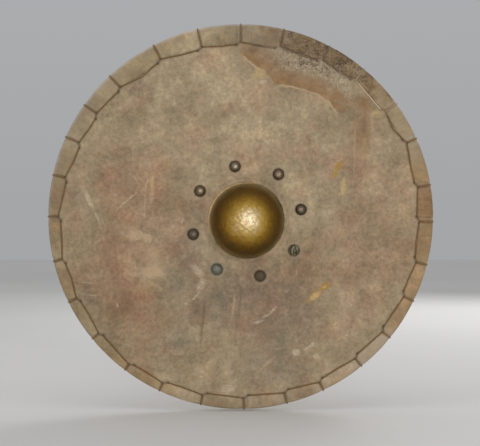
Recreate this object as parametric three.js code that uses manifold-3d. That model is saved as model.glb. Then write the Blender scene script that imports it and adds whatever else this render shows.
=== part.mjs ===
// A round hand-held shield: six planks edge to edge, faced with rawhide, bound round the rim with
// folded rawhide strips that one cord laces down, with a domed brass boss over the hand hole.
//
// Lengths are millimetres. The front looks along -Y and +Z is up. The origin is on the boss axis in
// the plane of the planks' backs, where the grip bar crosses the hand hole. Angles run
// anticlockwise from the right as seen from the front. "Forward" is towards the front, -Y.

import * as THREE from 'three';
import { mergeVertices } from 'three/addons/utils/BufferGeometryUtils.js';
import Module from 'manifold-3d';

const wasm = await Module();
wasm.setup();

// The whole shield
const DIAMETER = 610; // over the rim binding
const BOSS_RIGHT_OF_CENTRE = 10.5; // the boss sits off the disc's centre, as seen from the front
const BOSS_BELOW_CENTRE = 7.3;
const FIT_GAP = 0.3; // air between pieces that bear on each other
const CUT_OVERRUN = 4; // how far a cutter runs past the faces that it cuts

// Board
const BOARD_THICKNESS = 9;
const PLANK_LEAN_DEGREES = 4.9; // the planks' tops lean to the right by this
const PLANK_SEAM_SHARES = [-1.05, -0.65, -0.31, 0.025, 0.36, 0.695, 1.05]; // of the board's radius
const HAND_HOLE_LEDGE = 1; // the board shows this much inside the boss's wall

// Rawhide facing
const HIDE_THICKNESS = 2.5;
const HIDE_HOLE_CLEARANCE = 2.6; // radial, round the boss's dome
const HIDE_HOLE_SHIFT = 1.6; // the hole is cut this far left of the boss axis
const HIDE_HOLE_LIFT = 1.2; // and this far above it
const HIDE_LIP_WIDTH = 6; // the hide curls forward round the dome over this width
const HIDE_LIP_RISE = 2.5;
const HIDE_RAMP_WIDTH = 9; // the hide slopes down to the board outside the boss's flange
const HIDE_RIM_ZONE = 34; // flat outer band of the hide that the lacing passes through

// Boss
const BOSS_RADIUS = 58; // outside the dome
const BOSS_HEIGHT = 50; // the dome above the face of its flange
const BOSS_SHEET = 1.5;
const BOSS_FILLET = 3; // where the dome turns into its flange
const BOSS_FLANGE_WIDTH = 43.5; // outside the dome's wall

// Rivets round the boss
const RIVET_DEGREES = [12.2, 56.4, 102.7, 147.5, 193.6, 237.7, 283.1, 328]; // set by eye
const RIVET_FROM_BOSS = [28.8, 31.2, 30.9, 30.9, 30.1, 32.1, 30.9, 28.9]; // outside the dome's wall
const RIVET_HEAD_RADIUS = 9;
const RIVET_HEAD_HEIGHT = 6;
const RIVET_SHANK_RADIUS = 2.5;
const RIVET_TAIL_RADIUS = 4.4;
const RIVET_TAIL_HEIGHT = 2;
const HOLE_CLEARANCE = 0.4; // radial, round every shank
const ROVE_SIDE = 14; // square washer under each rivet's hammered tail
const ROVE_THICKNESS = 1.3;

// Rim binding
const BINDING_THICKNESS = 2.2;
const BINDING_WIDTH = 18; // from the outer edge to the inner edge, where its share is 1
const BINDING_CORNER_RADIUS = 4;
const BINDING_STEP = 4; // the inner edge steps in by this just past each stitch
const BINDING_STEP_FROM = 2.5; // the step starts this far past the stitch and ends at STEP_TO
const BINDING_STEP_TO = 5;
const BINDING_BITE = 0.6; // each stitch pulls the outer edge in by this
const BINDING_JOINT_GAP = 0.6; // between the ends of two strips
const STITCH_DEGREES = [
  90, 103, 117, 133, 144.5, 155.5, 167.5, 180, 193.5, 206.5, 219.5, 233, 245, 258,
  271, 284, 295.5, 309, 321, 334, 345.5, 358.5, 369.5, 384, 396, 410, 422.5, 437,
];
const BINDING_WIDTH_SHARES = [
  1.5, 1.55, 1.3, 1.25, 1.25, 1.2, 1, 0.8, 0.68, 0.7, 0.65, 0.55, 0.68, 0.8,
  0.9, 0.88, 0.72, 0.8, 0.78, 0.88, 0.9, 1.15, 1.08, 0.86, 1.12, 1.15, 1.3, 1.5,
];
// How far the inner edge bows inwards between a stitch and the next, as a share of the width
const BINDING_BOW_SHARES = [
  0.05, 0.05, 0.26, 0, 0.05, 0.08, 0, 0.05, 0.12, 0.1, 0, 0.05, 0.05, 0,
  0, 0, 0.05, 0, 0, 0.05, 0.05, 0, 0.05, 0.22, 0, 0.05, 0.05, 0.05,
];
// Each strip runs from one stitch to another, counted from 0 at the top
const BINDING_STRIPS = [
  { name: 'binding_strip_upper_right', from: 22, to: 28 },
  { name: 'binding_strip_upper_left', from: 28, to: 35 },
  { name: 'binding_strip_lower_left', from: 7, to: 14 },
  { name: 'binding_strip_lower_right', from: 14, to: 21 },
  { name: 'binding_strip_patch', from: 21, to: 22 },
];

// Lacing
const CORD_DIAMETER = 2.2;
const CORD_HOLE_PAST_STEP = 2; // each hole is this far past the binding's step
const CORD_CORNER_BEFORE_STEP = 3.3; // the cord turns outwards this far before the step
const CORD_RISE_LENGTH = 6; // over which it climbs onto the binding
const CORD_BOW_AT_CORNER_SHARE = 0.12; // of the binding's bow, where the cord turns outwards
const CORD_BOW_AT_CLIMB_SHARE = 0.22; // and more of it where the cord starts to climb
const CORD_TAIL_LENGTH = 13; // from the last hole to the knot
const CORD_TAILS_APART = 3.5;
const KNOT_STITCH = 14; // the two ends are knotted behind this stitch
const KNOT_LENGTH = 11;
const KNOT_WIDTH = 7;
const KNOT_HEIGHT = 5;

// Grip bar
const GRIP_TIP_TO_RIM = 33; // from the bar's right tip to the edge of the board
const GRIP_WIDTH = 32;
const GRIP_TIP_WIDTH = 22;
const GRIP_TIP_ROUNDING = 7;
const GRIP_ARM_THICKNESS = 8;
const GRIP_BLOCK_THICKNESS = 22;
const GRIP_BLOCK_INTO_HOLE = 4; // each block reaches this far into the hand hole
const GRIP_BLOCK_LENGTH = 33;
const GRIP_SLOPE_LENGTH = 22; // from the block down to the arm
const GRIP_CHAMFER = 2;
const HOLD_WIDTH = 30;
const HOLD_DEPTH = 20;
const HOLD_FORWARD = 3; // the hold reaches this far into the hand hole
const HOLD_WAIST = 2; // the hold is thinner than at its middle by this at each end
const SLEEVE_TO_BLOCK = 5.5; // bare wood between the sleeve and each block
const SLEEVE_THICKNESS = 1.8;

// Fasteners of the grip bar
const NAIL_HEAD_RADIUS = 4.5;
const NAIL_HEAD_THICKNESS = 1;
const NAIL_SHANK_RADIUS = 1.8;
const NAIL_POINT_LENGTH = 5;
const NAIL_WOOD_LEFT = 6; // wood behind the point of a nail in the block
const NAIL_FROM_HOLE = 10; // nail centres outside the hand hole
const GRIP_TAIL_RADIUS = 3.2;
const GRIP_TAIL_HEIGHT = 1.5;
const GRIP_ROVE_SIDE = 10;
const GRIP_ROVE_THICKNESS = 1.1;

// How finely round things are faceted
const BOARD_SIDES = 84;
const HIDE_RAYS = 60;
const BOSS_SEGMENTS = 40;
const RIVET_SEGMENTS = 12;
const NAIL_SEGMENTS = 10;
const HOLE_SIDES = 10;
const LACING_HOLE_SIDES = 6;
const CORD_SIDES = 5;

// What follows from them
const RADIUS = DIAMETER / 2;
const DISC_X = -BOSS_RIGHT_OF_CENTRE;
const DISC_Z = BOSS_BELOW_CENTRE;
const BOARD_RADIUS = RADIUS - BINDING_THICKNESS - FIT_GAP - BINDING_BITE;
const BOARD_FRONT = -BOARD_THICKNESS;
const FLANGE_BACK = BOARD_FRONT - FIT_GAP;
const FLANGE_FRONT = FLANGE_BACK - BOSS_SHEET;
const HIDE_BACK = BOARD_FRONT - FIT_GAP;
const HIDE_FRONT = HIDE_BACK - HIDE_THICKNESS;
const HIDE_BACK_AT_BOSS = FLANGE_FRONT - FIT_GAP;
const HIDE_FRONT_AT_BOSS = HIDE_BACK_AT_BOSS - HIDE_THICKNESS;
const BINDING_FRONT = HIDE_FRONT - FIT_GAP - BINDING_THICKNESS;
const BINDING_BACK = FIT_GAP + BINDING_THICKNESS;
const FLANGE_RADIUS = BOSS_RADIUS + BOSS_FLANGE_WIDTH;
const HAND_HOLE_RADIUS = BOSS_RADIUS - BOSS_SHEET - HAND_HOLE_LEDGE;
const CORD_RADIUS = CORD_DIAMETER / 2;
const CORD_STANDOFF = CORD_RADIUS + 1.5 * FIT_GAP; // from a surface to the cord's centre
const BEND_SHORT = CORD_STANDOFF * (1 - Math.SQRT1_2); // half way round a square bend
const BEND_LONG = CORD_STANDOFF * Math.SQRT1_2;
const LEAN = THREE.MathUtils.degToRad(-PLANK_LEAN_DEGREES);
const SEAMS = PLANK_SEAM_SHARES.map((share) => share * BOARD_RADIUS);

const material = (color, roughness, metalness) =>
  new THREE.MeshStandardMaterial({ color, roughness, metalness });
const LOOKS = {
  plank: material('#9a7a52', 0.8, 0),
  hide: material('#9f8c73', 0.7, 0),
  binding: material('#a8946f', 0.7, 0),
  patch: material('#8d7453', 0.7, 0),
  cord: material('#4a3826', 0.9, 0),
  boss: material('#94752c', 0.35, 1),
  rivet: material('#57504a', 0.4, 1),
  rove: material('#77613a', 0.5, 1),
  grip: material('#7a5735', 0.6, 0),
  sleeve: material('#4d3423', 0.7, 0),
  iron: material('#45413d', 0.6, 1),
};

const shield = new THREE.Group();

function add(name, geometry, look, x = 0, z = 0) {
  const mesh = new THREE.Mesh(geometry, look);
  mesh.name = name;
  mesh.position.set(x, 0, z);
  shield.add(mesh);
}

// Closed meshes as solids, for cutting

function toSolid(geometry) {
  const bare = geometry.clone();
  bare.deleteAttribute('normal');
  bare.deleteAttribute('uv');
  const merged = mergeVertices(bare);
  return new wasm.Manifold(new wasm.Mesh({
    numProp: 3,
    vertProperties: merged.attributes.position.array,
    triVerts: new Uint32Array(merged.index.array),
  }));
}

function toGeometry(solid) {
  const mesh = solid.getMesh();
  const geometry = new THREE.BufferGeometry();
  geometry.setAttribute('position', new THREE.BufferAttribute(mesh.vertProperties, 3));
  geometry.setIndex(new THREE.BufferAttribute(mesh.triVerts, 1));
  return geometry;
}

function cut(solid, cutters) {
  return cutters.reduce((left, cutter) => left.subtract(cutter), solid);
}

// A straight round cutter along Y between two heights, at a place in the disc's plane
function drill(x, z, radius, fromY, toY, sides) {
  const geometry = new THREE.CylinderGeometry(radius, radius, toY - fromY, sides);
  geometry.translate(x, (fromY + toY) / 2, z);
  return toSolid(geometry);
}

// A skin over rings of points, each ring a closed outline with the same number of points
function loft(rings, closed = false) {
  const sides = rings[0].length;
  const index = [];
  const bands = closed ? rings.length : rings.length - 1;
  for (let band = 0; band < bands; band++) {
    const near = band * sides;
    const far = ((band + 1) % rings.length) * sides;
    for (let side = 0; side < sides; side++) {
      const next = (side + 1) % sides;
      index.push(near + side, near + next, far + next);
      index.push(near + side, far + next, far + side);
    }
  }
  if (!closed) {
    const last = (rings.length - 1) * sides;
    for (const [a, b, c] of outlineTriangles(rings[0])) index.push(c, b, a);
    for (const [a, b, c] of outlineTriangles(rings.at(-1))) index.push(last + a, last + b, last + c);
  }
  const geometry = new THREE.BufferGeometry().setFromPoints(rings.flat());
  geometry.setIndex(index);
  return facingOut(geometry);
}

// A flat outline in space, as triangles that turn the way the outline does
function outlineTriangles(outline) {
  const origin = outline[0];
  const normal = new THREE.Vector3();
  outline.forEach((point, i) => {
    const next = outline[(i + 1) % outline.length];
    normal.add(point.clone().sub(origin).cross(next.clone().sub(origin)));
  });
  normal.normalize();
  const across = outline[1].clone().sub(origin).normalize();
  const up = normal.clone().cross(across);
  const flat = outline.map((point) => {
    const arm = point.clone().sub(origin);
    return new THREE.Vector2(arm.dot(across), arm.dot(up));
  });
  return THREE.ShapeUtils.triangulateShape(flat, []);
}

function facingOut(geometry) {
  const place = geometry.attributes.position;
  const index = geometry.index.array;
  const [a, b, c] = [new THREE.Vector3(), new THREE.Vector3(), new THREE.Vector3()];
  let volume = 0;
  for (let i = 0; i < index.length; i += 3) {
    a.fromBufferAttribute(place, index[i]);
    b.fromBufferAttribute(place, index[i + 1]);
    c.fromBufferAttribute(place, index[i + 2]);
    volume += a.dot(b.cross(c));
  }
  if (volume < 0) {
    for (let i = 0; i < index.length; i += 3) {
      [index[i + 1], index[i + 2]] = [index[i + 2], index[i + 1]];
    }
  }
  return geometry;
}

// A turned piece from [radius, y] points that run from its back end on the axis to its front end
function turned(profile, segments) {
  const points = profile.map(([radius, y]) => new THREE.Vector2(radius, -y));
  const geometry = new THREE.LatheGeometry(points, segments);
  return geometry.scale(1, -1, 1);
}

// Points of a circular or elliptical quarter, from its rim to its pole, both included
function quarter(radius, rimY, poleY, steps) {
  return Array.from({ length: steps + 1 }, (_, i) => {
    const angle = (i / steps) * (Math.PI / 2);
    return [radius * Math.cos(angle), rimY + (poleY - rimY) * Math.sin(angle)];
  });
}

function ringPoint(radius, degrees) {
  const angle = THREE.MathUtils.degToRad(degrees);
  return { x: radius * Math.cos(angle), z: radius * Math.sin(angle) };
}

// Rim stitches. Each has a frame at the disc's centre: "out" along its own radius, "on" the way
// that the lacing travels. Its binding edge steps from one place to another just past the stitch.

const STITCH_COUNT = STITCH_DEGREES.length;

function stitchAt(number) {
  const turn = Math.floor(number / STITCH_COUNT);
  const i = number - turn * STITCH_COUNT;
  const angle = THREE.MathUtils.degToRad(STITCH_DEGREES[i]);
  const out = new THREE.Vector3(Math.cos(angle), 0, Math.sin(angle));
  const on = new THREE.Vector3(-Math.sin(angle), 0, Math.cos(angle));
  const place = (radius, along) => new THREE.Vector3(DISC_X, 0, DISC_Z)
    .addScaledVector(out, radius)
    .addScaledVector(on, along);
  const edge = RADIUS - BINDING_WIDTH * BINDING_WIDTH_SHARES[i];
  return {
    out,
    on,
    place,
    bow: BINDING_WIDTH * BINDING_BOW_SHARES[i],
    arrival: place(edge, BINDING_STEP_FROM),
    departure: place(edge - BINDING_STEP, BINDING_STEP_TO),
  };
}

// The binding's inner edge from a stitch to the next: its line, and the inward direction
function spanFrom(number) {
  const start = stitchAt(number);
  const end = stitchAt(number + 1);
  const along = end.arrival.clone().sub(start.departure).normalize();
  const inward = new THREE.Vector3(along.z, 0, -along.x);
  if (inward.dot(start.out) > 0) inward.negate();
  const middle = start.departure.clone().lerp(end.arrival, 1 / 2).addScaledVector(inward, start.bow);
  const hole = start.departure.clone()
    .addScaledVector(along, CORD_HOLE_PAST_STEP)
    .addScaledVector(inward, CORD_STANDOFF + FIT_GAP);
  const corner = end.arrival.clone()
    .addScaledVector(along, -CORD_CORNER_BEFORE_STEP)
    .addScaledVector(inward, CORD_STANDOFF + FIT_GAP + start.bow * CORD_BOW_AT_CORNER_SHARE);
  const climb = corner.clone()
    .addScaledVector(along, -CORD_RISE_LENGTH)
    .addScaledVector(inward, start.bow * CORD_BOW_AT_CLIMB_SHARE);
  return { start, end, along, inward, middle, hole, corner, climb };
}

const lacingHoles = Array.from({ length: STITCH_COUNT }, (_, i) => spanFrom(i).hole);

// Positions along the grip bar, outwards from the boss axis

const gripTip = BOARD_RADIUS - BOSS_RIGHT_OF_CENTRE - GRIP_TIP_TO_RIM;
const blockStart = HAND_HOLE_RADIUS - GRIP_BLOCK_INTO_HOLE;
const blockEnd = blockStart + GRIP_BLOCK_LENGTH;
const armStart = blockEnd + GRIP_SLOPE_LENGTH;
const sleeveHalf = blockStart - SLEEVE_TO_BLOCK;
const gripFront = FIT_GAP;
const armBack = gripFront + GRIP_ARM_THICKNESS;
const blockBack = gripFront + GRIP_BLOCK_THICKNESS;

function gripPoint(along, across, y) {
  return new THREE.Vector3(
    along * Math.cos(LEAN) - across * Math.sin(LEAN),
    y,
    along * Math.sin(LEAN) + across * Math.cos(LEAN),
  );
}

// Where the disc's centre falls along the bar, and so each seam between planks
const discAlongGrip = DISC_X * Math.cos(LEAN) + DISC_Z * Math.sin(LEAN);
const seamsAlongGrip = SEAMS.map((seam) => seam + discAlongGrip);

// One rivet in each plank that an arm crosses, and one nail in each block
function gripFastenings() {
  const [, outerLeft, innerLeft, , innerRight, outerRight] = seamsAlongGrip;
  const rivets = [
    { name: 'left_outer', along: (outerLeft - gripTip) / 2 },
    { name: 'left_inner', along: (outerLeft + innerLeft) / 2 },
    { name: 'right_inner', along: (innerRight + outerRight) / 2 },
    { name: 'right_outer', along: (outerRight + gripTip) / 2 },
  ];
  const nailAlong = HAND_HOLE_RADIUS + NAIL_FROM_HOLE;
  const nails = [
    { name: 'left', along: -nailAlong },
    { name: 'right', along: nailAlong },
  ];
  return { rivets, nails };
}

const fastenings = gripFastenings();
const nailPoint = blockBack - NAIL_WOOD_LEFT;

// Board

const rivetPlaces = RIVET_DEGREES.map((degrees, i) =>
  ringPoint(BOSS_RADIUS + RIVET_FROM_BOSS[i], degrees));

function rivetDrills(fromY, toY) {
  return rivetPlaces.map(({ x, z }) =>
    drill(x, z, RIVET_SHANK_RADIUS + HOLE_CLEARANCE, fromY, toY, HOLE_SIDES));
}

function lacingDrills(fromY, toY) {
  return lacingHoles.map(({ x, z }) =>
    drill(x, z, CORD_RADIUS + HOLE_CLEARANCE, fromY, toY, LACING_HOLE_SIDES));
}

// Holes for the bar's fasteners, with a sunk seat in front for each head
function boardGripDrills() {
  const seat = BOARD_FRONT + NAIL_HEAD_THICKNESS + FIT_GAP;
  return [...fastenings.rivets, ...fastenings.nails].flatMap(({ along }) => [
    gripDrill(along, NAIL_SHANK_RADIUS + HOLE_CLEARANCE, BOARD_FRONT, CUT_OVERRUN),
    gripDrill(along, NAIL_HEAD_RADIUS + HOLE_CLEARANCE, BOARD_FRONT - CUT_OVERRUN, seat),
  ]);
}

function addPlanks() {
  const disc = new THREE.CylinderGeometry(BOARD_RADIUS, BOARD_RADIUS, BOARD_THICKNESS, BOARD_SIDES);
  disc.translate(DISC_X, BOARD_FRONT / 2, DISC_Z);
  const [front, back] = [BOARD_FRONT - CUT_OVERRUN, CUT_OVERRUN];
  const board = cut(toSolid(disc), [
    drill(0, 0, HAND_HOLE_RADIUS, front, back, BOSS_SEGMENTS),
    ...rivetDrills(front, back),
    ...lacingDrills(front, back),
    ...boardGripDrills(),
  ]);
  for (let i = 0; i + 1 < SEAMS.length; i++) {
    const width = SEAMS[i + 1] - SEAMS[i] - FIT_GAP;
    const slab = new THREE.BoxGeometry(width, BOARD_THICKNESS + 2 * CUT_OVERRUN, 2 * DIAMETER);
    slab.translate((SEAMS[i] + SEAMS[i + 1]) / 2, BOARD_FRONT / 2, 0);
    slab.rotateY(-LEAN);
    slab.translate(DISC_X, 0, DISC_Z);
    add(`plank_${i + 1}`, toGeometry(board.intersect(toSolid(slab))), LOOKS.plank);
  }
}

// Rawhide facing: rings of four points, back to front, from the hole outwards

function addHide() {
  const holeRadius = BOSS_RADIUS + HIDE_HOLE_CLEARANCE;
  const lipEnd = holeRadius + HIDE_LIP_WIDTH;
  const flatEnd = FLANGE_RADIUS + FIT_GAP;
  const rings = [
    {
      x: -HIDE_HOLE_SHIFT, z: HIDE_HOLE_LIFT, radius: holeRadius,
      back: HIDE_BACK_AT_BOSS - HIDE_LIP_RISE,
    },
    { x: 0, z: 0, radius: (holeRadius + lipEnd) / 2, back: HIDE_BACK_AT_BOSS - HIDE_LIP_RISE / 4 },
    { x: 0, z: 0, radius: lipEnd, back: HIDE_BACK_AT_BOSS },
    { x: 0, z: 0, radius: flatEnd, back: HIDE_BACK_AT_BOSS },
    { x: 0, z: 0, radius: flatEnd + HIDE_RAMP_WIDTH, back: HIDE_BACK },
    { x: DISC_X, z: DISC_Z, radius: BOARD_RADIUS - HIDE_RIM_ZONE, back: HIDE_BACK },
    { x: DISC_X, z: DISC_Z, radius: BOARD_RADIUS, back: HIDE_BACK },
  ];
  const ringAt = ({ x, z, radius }, degrees, y) => {
    const arm = ringPoint(radius, degrees);
    return new THREE.Vector3(x + arm.x, y, z + arm.z);
  };
  const slices = Array.from({ length: HIDE_RAYS }, (_, ray) => {
    const degrees = (ray * 360) / HIDE_RAYS;
    const backs = rings.map((ring) => ringAt(ring, degrees, ring.back));
    const fronts = rings.map((ring) => ringAt(ring, degrees, ring.back - HIDE_THICKNESS));
    return [...backs, ...fronts.reverse()];
  });
  const [front, back] = [HIDE_FRONT_AT_BOSS - CUT_OVERRUN, 0];
  const hide = cut(toSolid(loft(slices, true)), [
    ...rivetDrills(front, back),
    ...lacingDrills(front, back),
  ]);
  add('hide_facing', toGeometry(hide), LOOKS.hide);
}

// Boss: one sheet, its dome a half ellipse, with a fillet into the flange

function addBoss() {
  const foot = BOSS_RADIUS + BOSS_FILLET;
  const fillet = [1, 2].map((i) => {
    const angle = (i / 3) * (Math.PI / 2);
    return [foot - BOSS_FILLET * Math.sin(angle), FLANGE_FRONT - BOSS_FILLET * (1 - Math.cos(angle))];
  });
  const domeFoot = FLANGE_FRONT - BOSS_FILLET;
  const outside = quarter(BOSS_RADIUS, domeFoot, FLANGE_FRONT - BOSS_HEIGHT, 8);
  const innerRadius = BOSS_RADIUS - BOSS_SHEET;
  const inside = quarter(innerRadius, domeFoot, FLANGE_FRONT - BOSS_HEIGHT + BOSS_SHEET, 7);
  const profile = [
    ...inside.reverse(),
    [innerRadius, FLANGE_BACK],
    [FLANGE_RADIUS, FLANGE_BACK],
    [FLANGE_RADIUS, FLANGE_FRONT],
    [foot, FLANGE_FRONT],
    ...fillet,
    ...outside,
  ];
  const boss = facingOut(mergedTurning(profile, BOSS_SEGMENTS));
  const holes = rivetDrills(FLANGE_FRONT - CUT_OVERRUN, BOARD_FRONT + CUT_OVERRUN);
  add('boss', toGeometry(cut(toSolid(boss), holes)), LOOKS.boss);
}

function mergedTurning(profile, segments) {
  const geometry = turned(profile, segments);
  geometry.deleteAttribute('normal');
  geometry.deleteAttribute('uv');
  return mergeVertices(geometry);
}

// Rivets with domed heads, on square roves behind the board

function rove(side, holeRadius, frontY, thickness) {
  const outline = new THREE.Shape([
    new THREE.Vector2(-side / 2, -side / 2),
    new THREE.Vector2(side / 2, -side / 2),
    new THREE.Vector2(side / 2, side / 2),
    new THREE.Vector2(-side / 2, side / 2),
  ]);
  outline.holes.push(new THREE.Path().absarc(0, 0, holeRadius, 0, 2 * Math.PI, true));
  const geometry = new THREE.ExtrudeGeometry(outline, {
    depth: thickness,
    bevelEnabled: false,
    curveSegments: 8,
  });
  geometry.rotateX(-Math.PI / 2);
  return geometry.translate(0, frontY, 0);
}

function addRivets() {
  const seat = HIDE_FRONT_AT_BOSS - FIT_GAP;
  const roveBack = FIT_GAP + ROVE_THICKNESS;
  const tailSeat = roveBack + FIT_GAP;
  const geometry = facingOut(mergedTurning([
    ...quarter(RIVET_TAIL_RADIUS, tailSeat, tailSeat + RIVET_TAIL_HEIGHT, 2).reverse(),
    [RIVET_SHANK_RADIUS, tailSeat],
    [RIVET_SHANK_RADIUS, seat],
    ...quarter(RIVET_HEAD_RADIUS, seat, seat - RIVET_HEAD_HEIGHT, 4),
  ], RIVET_SEGMENTS));
  rivetPlaces.forEach(({ x, z }, i) => {
    add(`boss_rivet_${i + 1}`, geometry, LOOKS.rivet, x, z);
    const washer = rove(ROVE_SIDE, RIVET_SHANK_RADIUS + HOLE_CLEARANCE, FIT_GAP, ROVE_THICKNESS);
    washer.rotateY(-THREE.MathUtils.degToRad(RIVET_DEGREES[i]));
    add(`boss_rove_${i + 1}`, washer, LOOKS.rove, x, z);
  });
}

// Rim binding: a folded section at each place round the rim, as [radius, y] on the stitch's ray

function bindingSection(point, radius) {
  const arm = new THREE.Vector3(point.x - DISC_X, 0, point.z - DISC_Z);
  const edge = arm.length();
  const out = arm.normalize();
  const corner = BINDING_CORNER_RADIUS;
  const bevel = corner * (1 - Math.SQRT1_2);
  const inside = radius - BINDING_THICKNESS;
  const section = [
    [edge, BINDING_FRONT],
    [radius - corner, BINDING_FRONT],
    [radius - bevel, BINDING_FRONT + bevel],
    [radius, BINDING_FRONT + corner],
    [radius, BINDING_BACK - corner],
    [radius - bevel, BINDING_BACK - bevel],
    [radius - corner, BINDING_BACK],
    [edge, BINDING_BACK],
    [edge, BINDING_BACK - BINDING_THICKNESS],
    [inside, BINDING_BACK - BINDING_THICKNESS],
    [inside, BINDING_FRONT + BINDING_THICKNESS],
    [edge, BINDING_FRONT + BINDING_THICKNESS],
  ];
  return section.map(([r, y]) => new THREE.Vector3(DISC_X + r * out.x, y, DISC_Z + r * out.z));
}

function addBinding() {
  for (const { name, from, to } of BINDING_STRIPS) {
    const sections = [];
    for (let number = from; number < to; number++) {
      const { start, end, middle } = spanFrom(number);
      const pulled = RADIUS - BINDING_BITE;
      const first = number === from ? BINDING_JOINT_GAP : 0;
      const begin = start.departure.clone().addScaledVector(start.on, first);
      sections.push(bindingSection(begin, pulled));
      sections.push(bindingSection(begin.clone().lerp(middle, 2 / 3), RADIUS));
      sections.push(bindingSection(middle.clone().lerp(end.arrival, 1 / 3), RADIUS));
      sections.push(bindingSection(end.arrival, pulled));
      if (number + 1 === to) sections.push(bindingSection(end.departure, pulled));
    }
    const look = name.endsWith('patch') ? LOOKS.patch : LOOKS.binding;
    add(name, loft(sections), look);
  }
}

// Lacing: along the binding's edge in front, out over the rim, in again behind, and up a hole

function overRim(stitch, along) {
  const corner = BINDING_CORNER_RADIUS;
  const reach = corner + CORD_STANDOFF;
  const radius = RADIUS - BINDING_BITE;
  const at = (depth, y) => stitch.place(radius + depth, along).setY(y);
  const bevel = reach * Math.SQRT1_2;
  return [
    at(-corner, BINDING_FRONT - CORD_STANDOFF),
    at(bevel - corner, BINDING_FRONT + corner - bevel),
    at(CORD_STANDOFF, BINDING_FRONT + corner),
    at(CORD_STANDOFF, BINDING_BACK - corner),
    at(bevel - corner, BINDING_BACK - corner + bevel),
    at(-corner, BINDING_BACK + CORD_STANDOFF),
  ];
}

function chordPoints(span) {
  const level = HIDE_FRONT - CORD_STANDOFF;
  const { hole, along, inward, climb } = span;
  const bowed = hole.clone().lerp(climb, 1 / 2).addScaledVector(inward, span.start.bow);
  return [
    hole.clone().setY(HIDE_FRONT),
    hole.clone().addScaledVector(along, BEND_SHORT).setY(HIDE_FRONT - BEND_LONG),
    hole.clone().addScaledVector(along, CORD_STANDOFF).setY(level),
    bowed.setY(level),
    climb.clone().setY(level),
  ];
}

function cornerPoints(span) {
  const top = BINDING_FRONT - CORD_STANDOFF;
  const { climb, corner, end, inward } = span;
  return [
    climb.clone().lerp(corner, 1 / 2).setY((HIDE_FRONT - CORD_STANDOFF + top) / 2),
    corner.clone().setY(top),
    corner.clone()
      .addScaledVector(inward, -CORD_STANDOFF)
      .addScaledVector(end.on, FIT_GAP)
      .setY(top),
  ];
}

function backPoints(hole, inward) {
  const over = BINDING_BACK + CORD_STANDOFF;
  return [
    hole.clone().addScaledVector(inward, -2 * CORD_STANDOFF).setY(over),
    hole.clone().addScaledVector(inward, -BEND_LONG).setY(over - FIT_GAP),
    hole.clone().setY(BINDING_BACK),
  ];
}

function lacingPath() {
  const points = [];
  const home = stitchAt(KNOT_STITCH);
  const firstHole = lacingHoles[KNOT_STITCH];
  const knot = knotCentre();
  const tailLevel = CORD_STANDOFF;
  const knotFace = knot.clone().addScaledVector(home.out, KNOT_WIDTH / 2 + FIT_GAP);
  const tailOffset = CORD_TAILS_APART / 2;
  points.push(knotFace.clone().addScaledVector(home.on, tailOffset).setY(tailLevel));
  points.push(firstHole.clone().addScaledVector(home.out, -2 * CORD_STANDOFF).setY(tailLevel));
  points.push(firstHole.clone().addScaledVector(home.out, -BEND_SHORT).setY(BEND_LONG));
  points.push(firstHole.clone().setY(-FIT_GAP));
  for (let number = KNOT_STITCH; number < KNOT_STITCH + STITCH_COUNT; number++) {
    const span = spanFrom(number);
    const next = spanFrom(number + 1);
    points.push(...chordPoints(span), ...cornerPoints(span));
    const along = span.corner.clone().sub(span.end.place(0, 0)).dot(span.end.on) + FIT_GAP;
    points.push(...overRim(span.end, along));
    if (number + 1 < KNOT_STITCH + STITCH_COUNT) points.push(...backPoints(next.hole, next.inward));
  }
  const lastCorner = spanFrom(KNOT_STITCH - 1).corner;
  const clear = lastCorner.clone().addScaledVector(home.on, -CORD_DIAMETER / 2);
  points.push(clear.clone().addScaledVector(home.out, CORD_DIAMETER).setY(BINDING_BACK + CORD_STANDOFF));
  points.push(clear.clone().addScaledVector(home.out, -CORD_DIAMETER).setY(BINDING_BACK));
  points.push(clear.clone().addScaledVector(home.out, -2 * CORD_DIAMETER).setY(tailLevel));
  points.push(knotFace.clone().addScaledVector(home.on, -tailOffset).setY(tailLevel));
  return points;
}

function knotCentre() {
  const home = stitchAt(KNOT_STITCH);
  const hole = lacingHoles[KNOT_STITCH];
  const depth = hole.clone().sub(home.place(0, 0)).dot(home.out) - CORD_TAIL_LENGTH;
  return home.place(depth, BINDING_STEP_FROM);
}

// A cord's route, whose even steps fall on its points
class Route extends THREE.Curve {
  constructor(points) {
    super();
    this.points = points;
    this.steps = points.length - 1;
  }

  getPoint(share, target = new THREE.Vector3()) {
    const place = share * this.steps;
    const step = Math.min(Math.floor(place), this.steps - 1);
    return target.lerpVectors(this.points[step], this.points[step + 1], place - step);
  }

  getPointAt(share, target) {
    return this.getPoint(share, target);
  }

  getTangentAt(share, target = new THREE.Vector3()) {
    const step = Math.round(share * this.steps);
    const here = this.points[step];
    const before = this.points[Math.max(step - 1, 0)];
    const after = this.points[Math.min(step + 1, this.steps)];
    const into = here.clone().sub(before).normalize();
    return target.copy(after).sub(here).normalize().add(into).normalize();
  }
}

function tube(points, radius, sides) {
  const section = new THREE.Shape(Array.from({ length: sides }, (_, i) => {
    const angle = (i * 2 * Math.PI) / sides;
    return new THREE.Vector2(radius * Math.cos(angle), radius * Math.sin(angle));
  }));
  return new THREE.ExtrudeGeometry(section, {
    steps: points.length - 1,
    bevelEnabled: false,
    extrudePath: new Route(points),
  });
}

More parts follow.
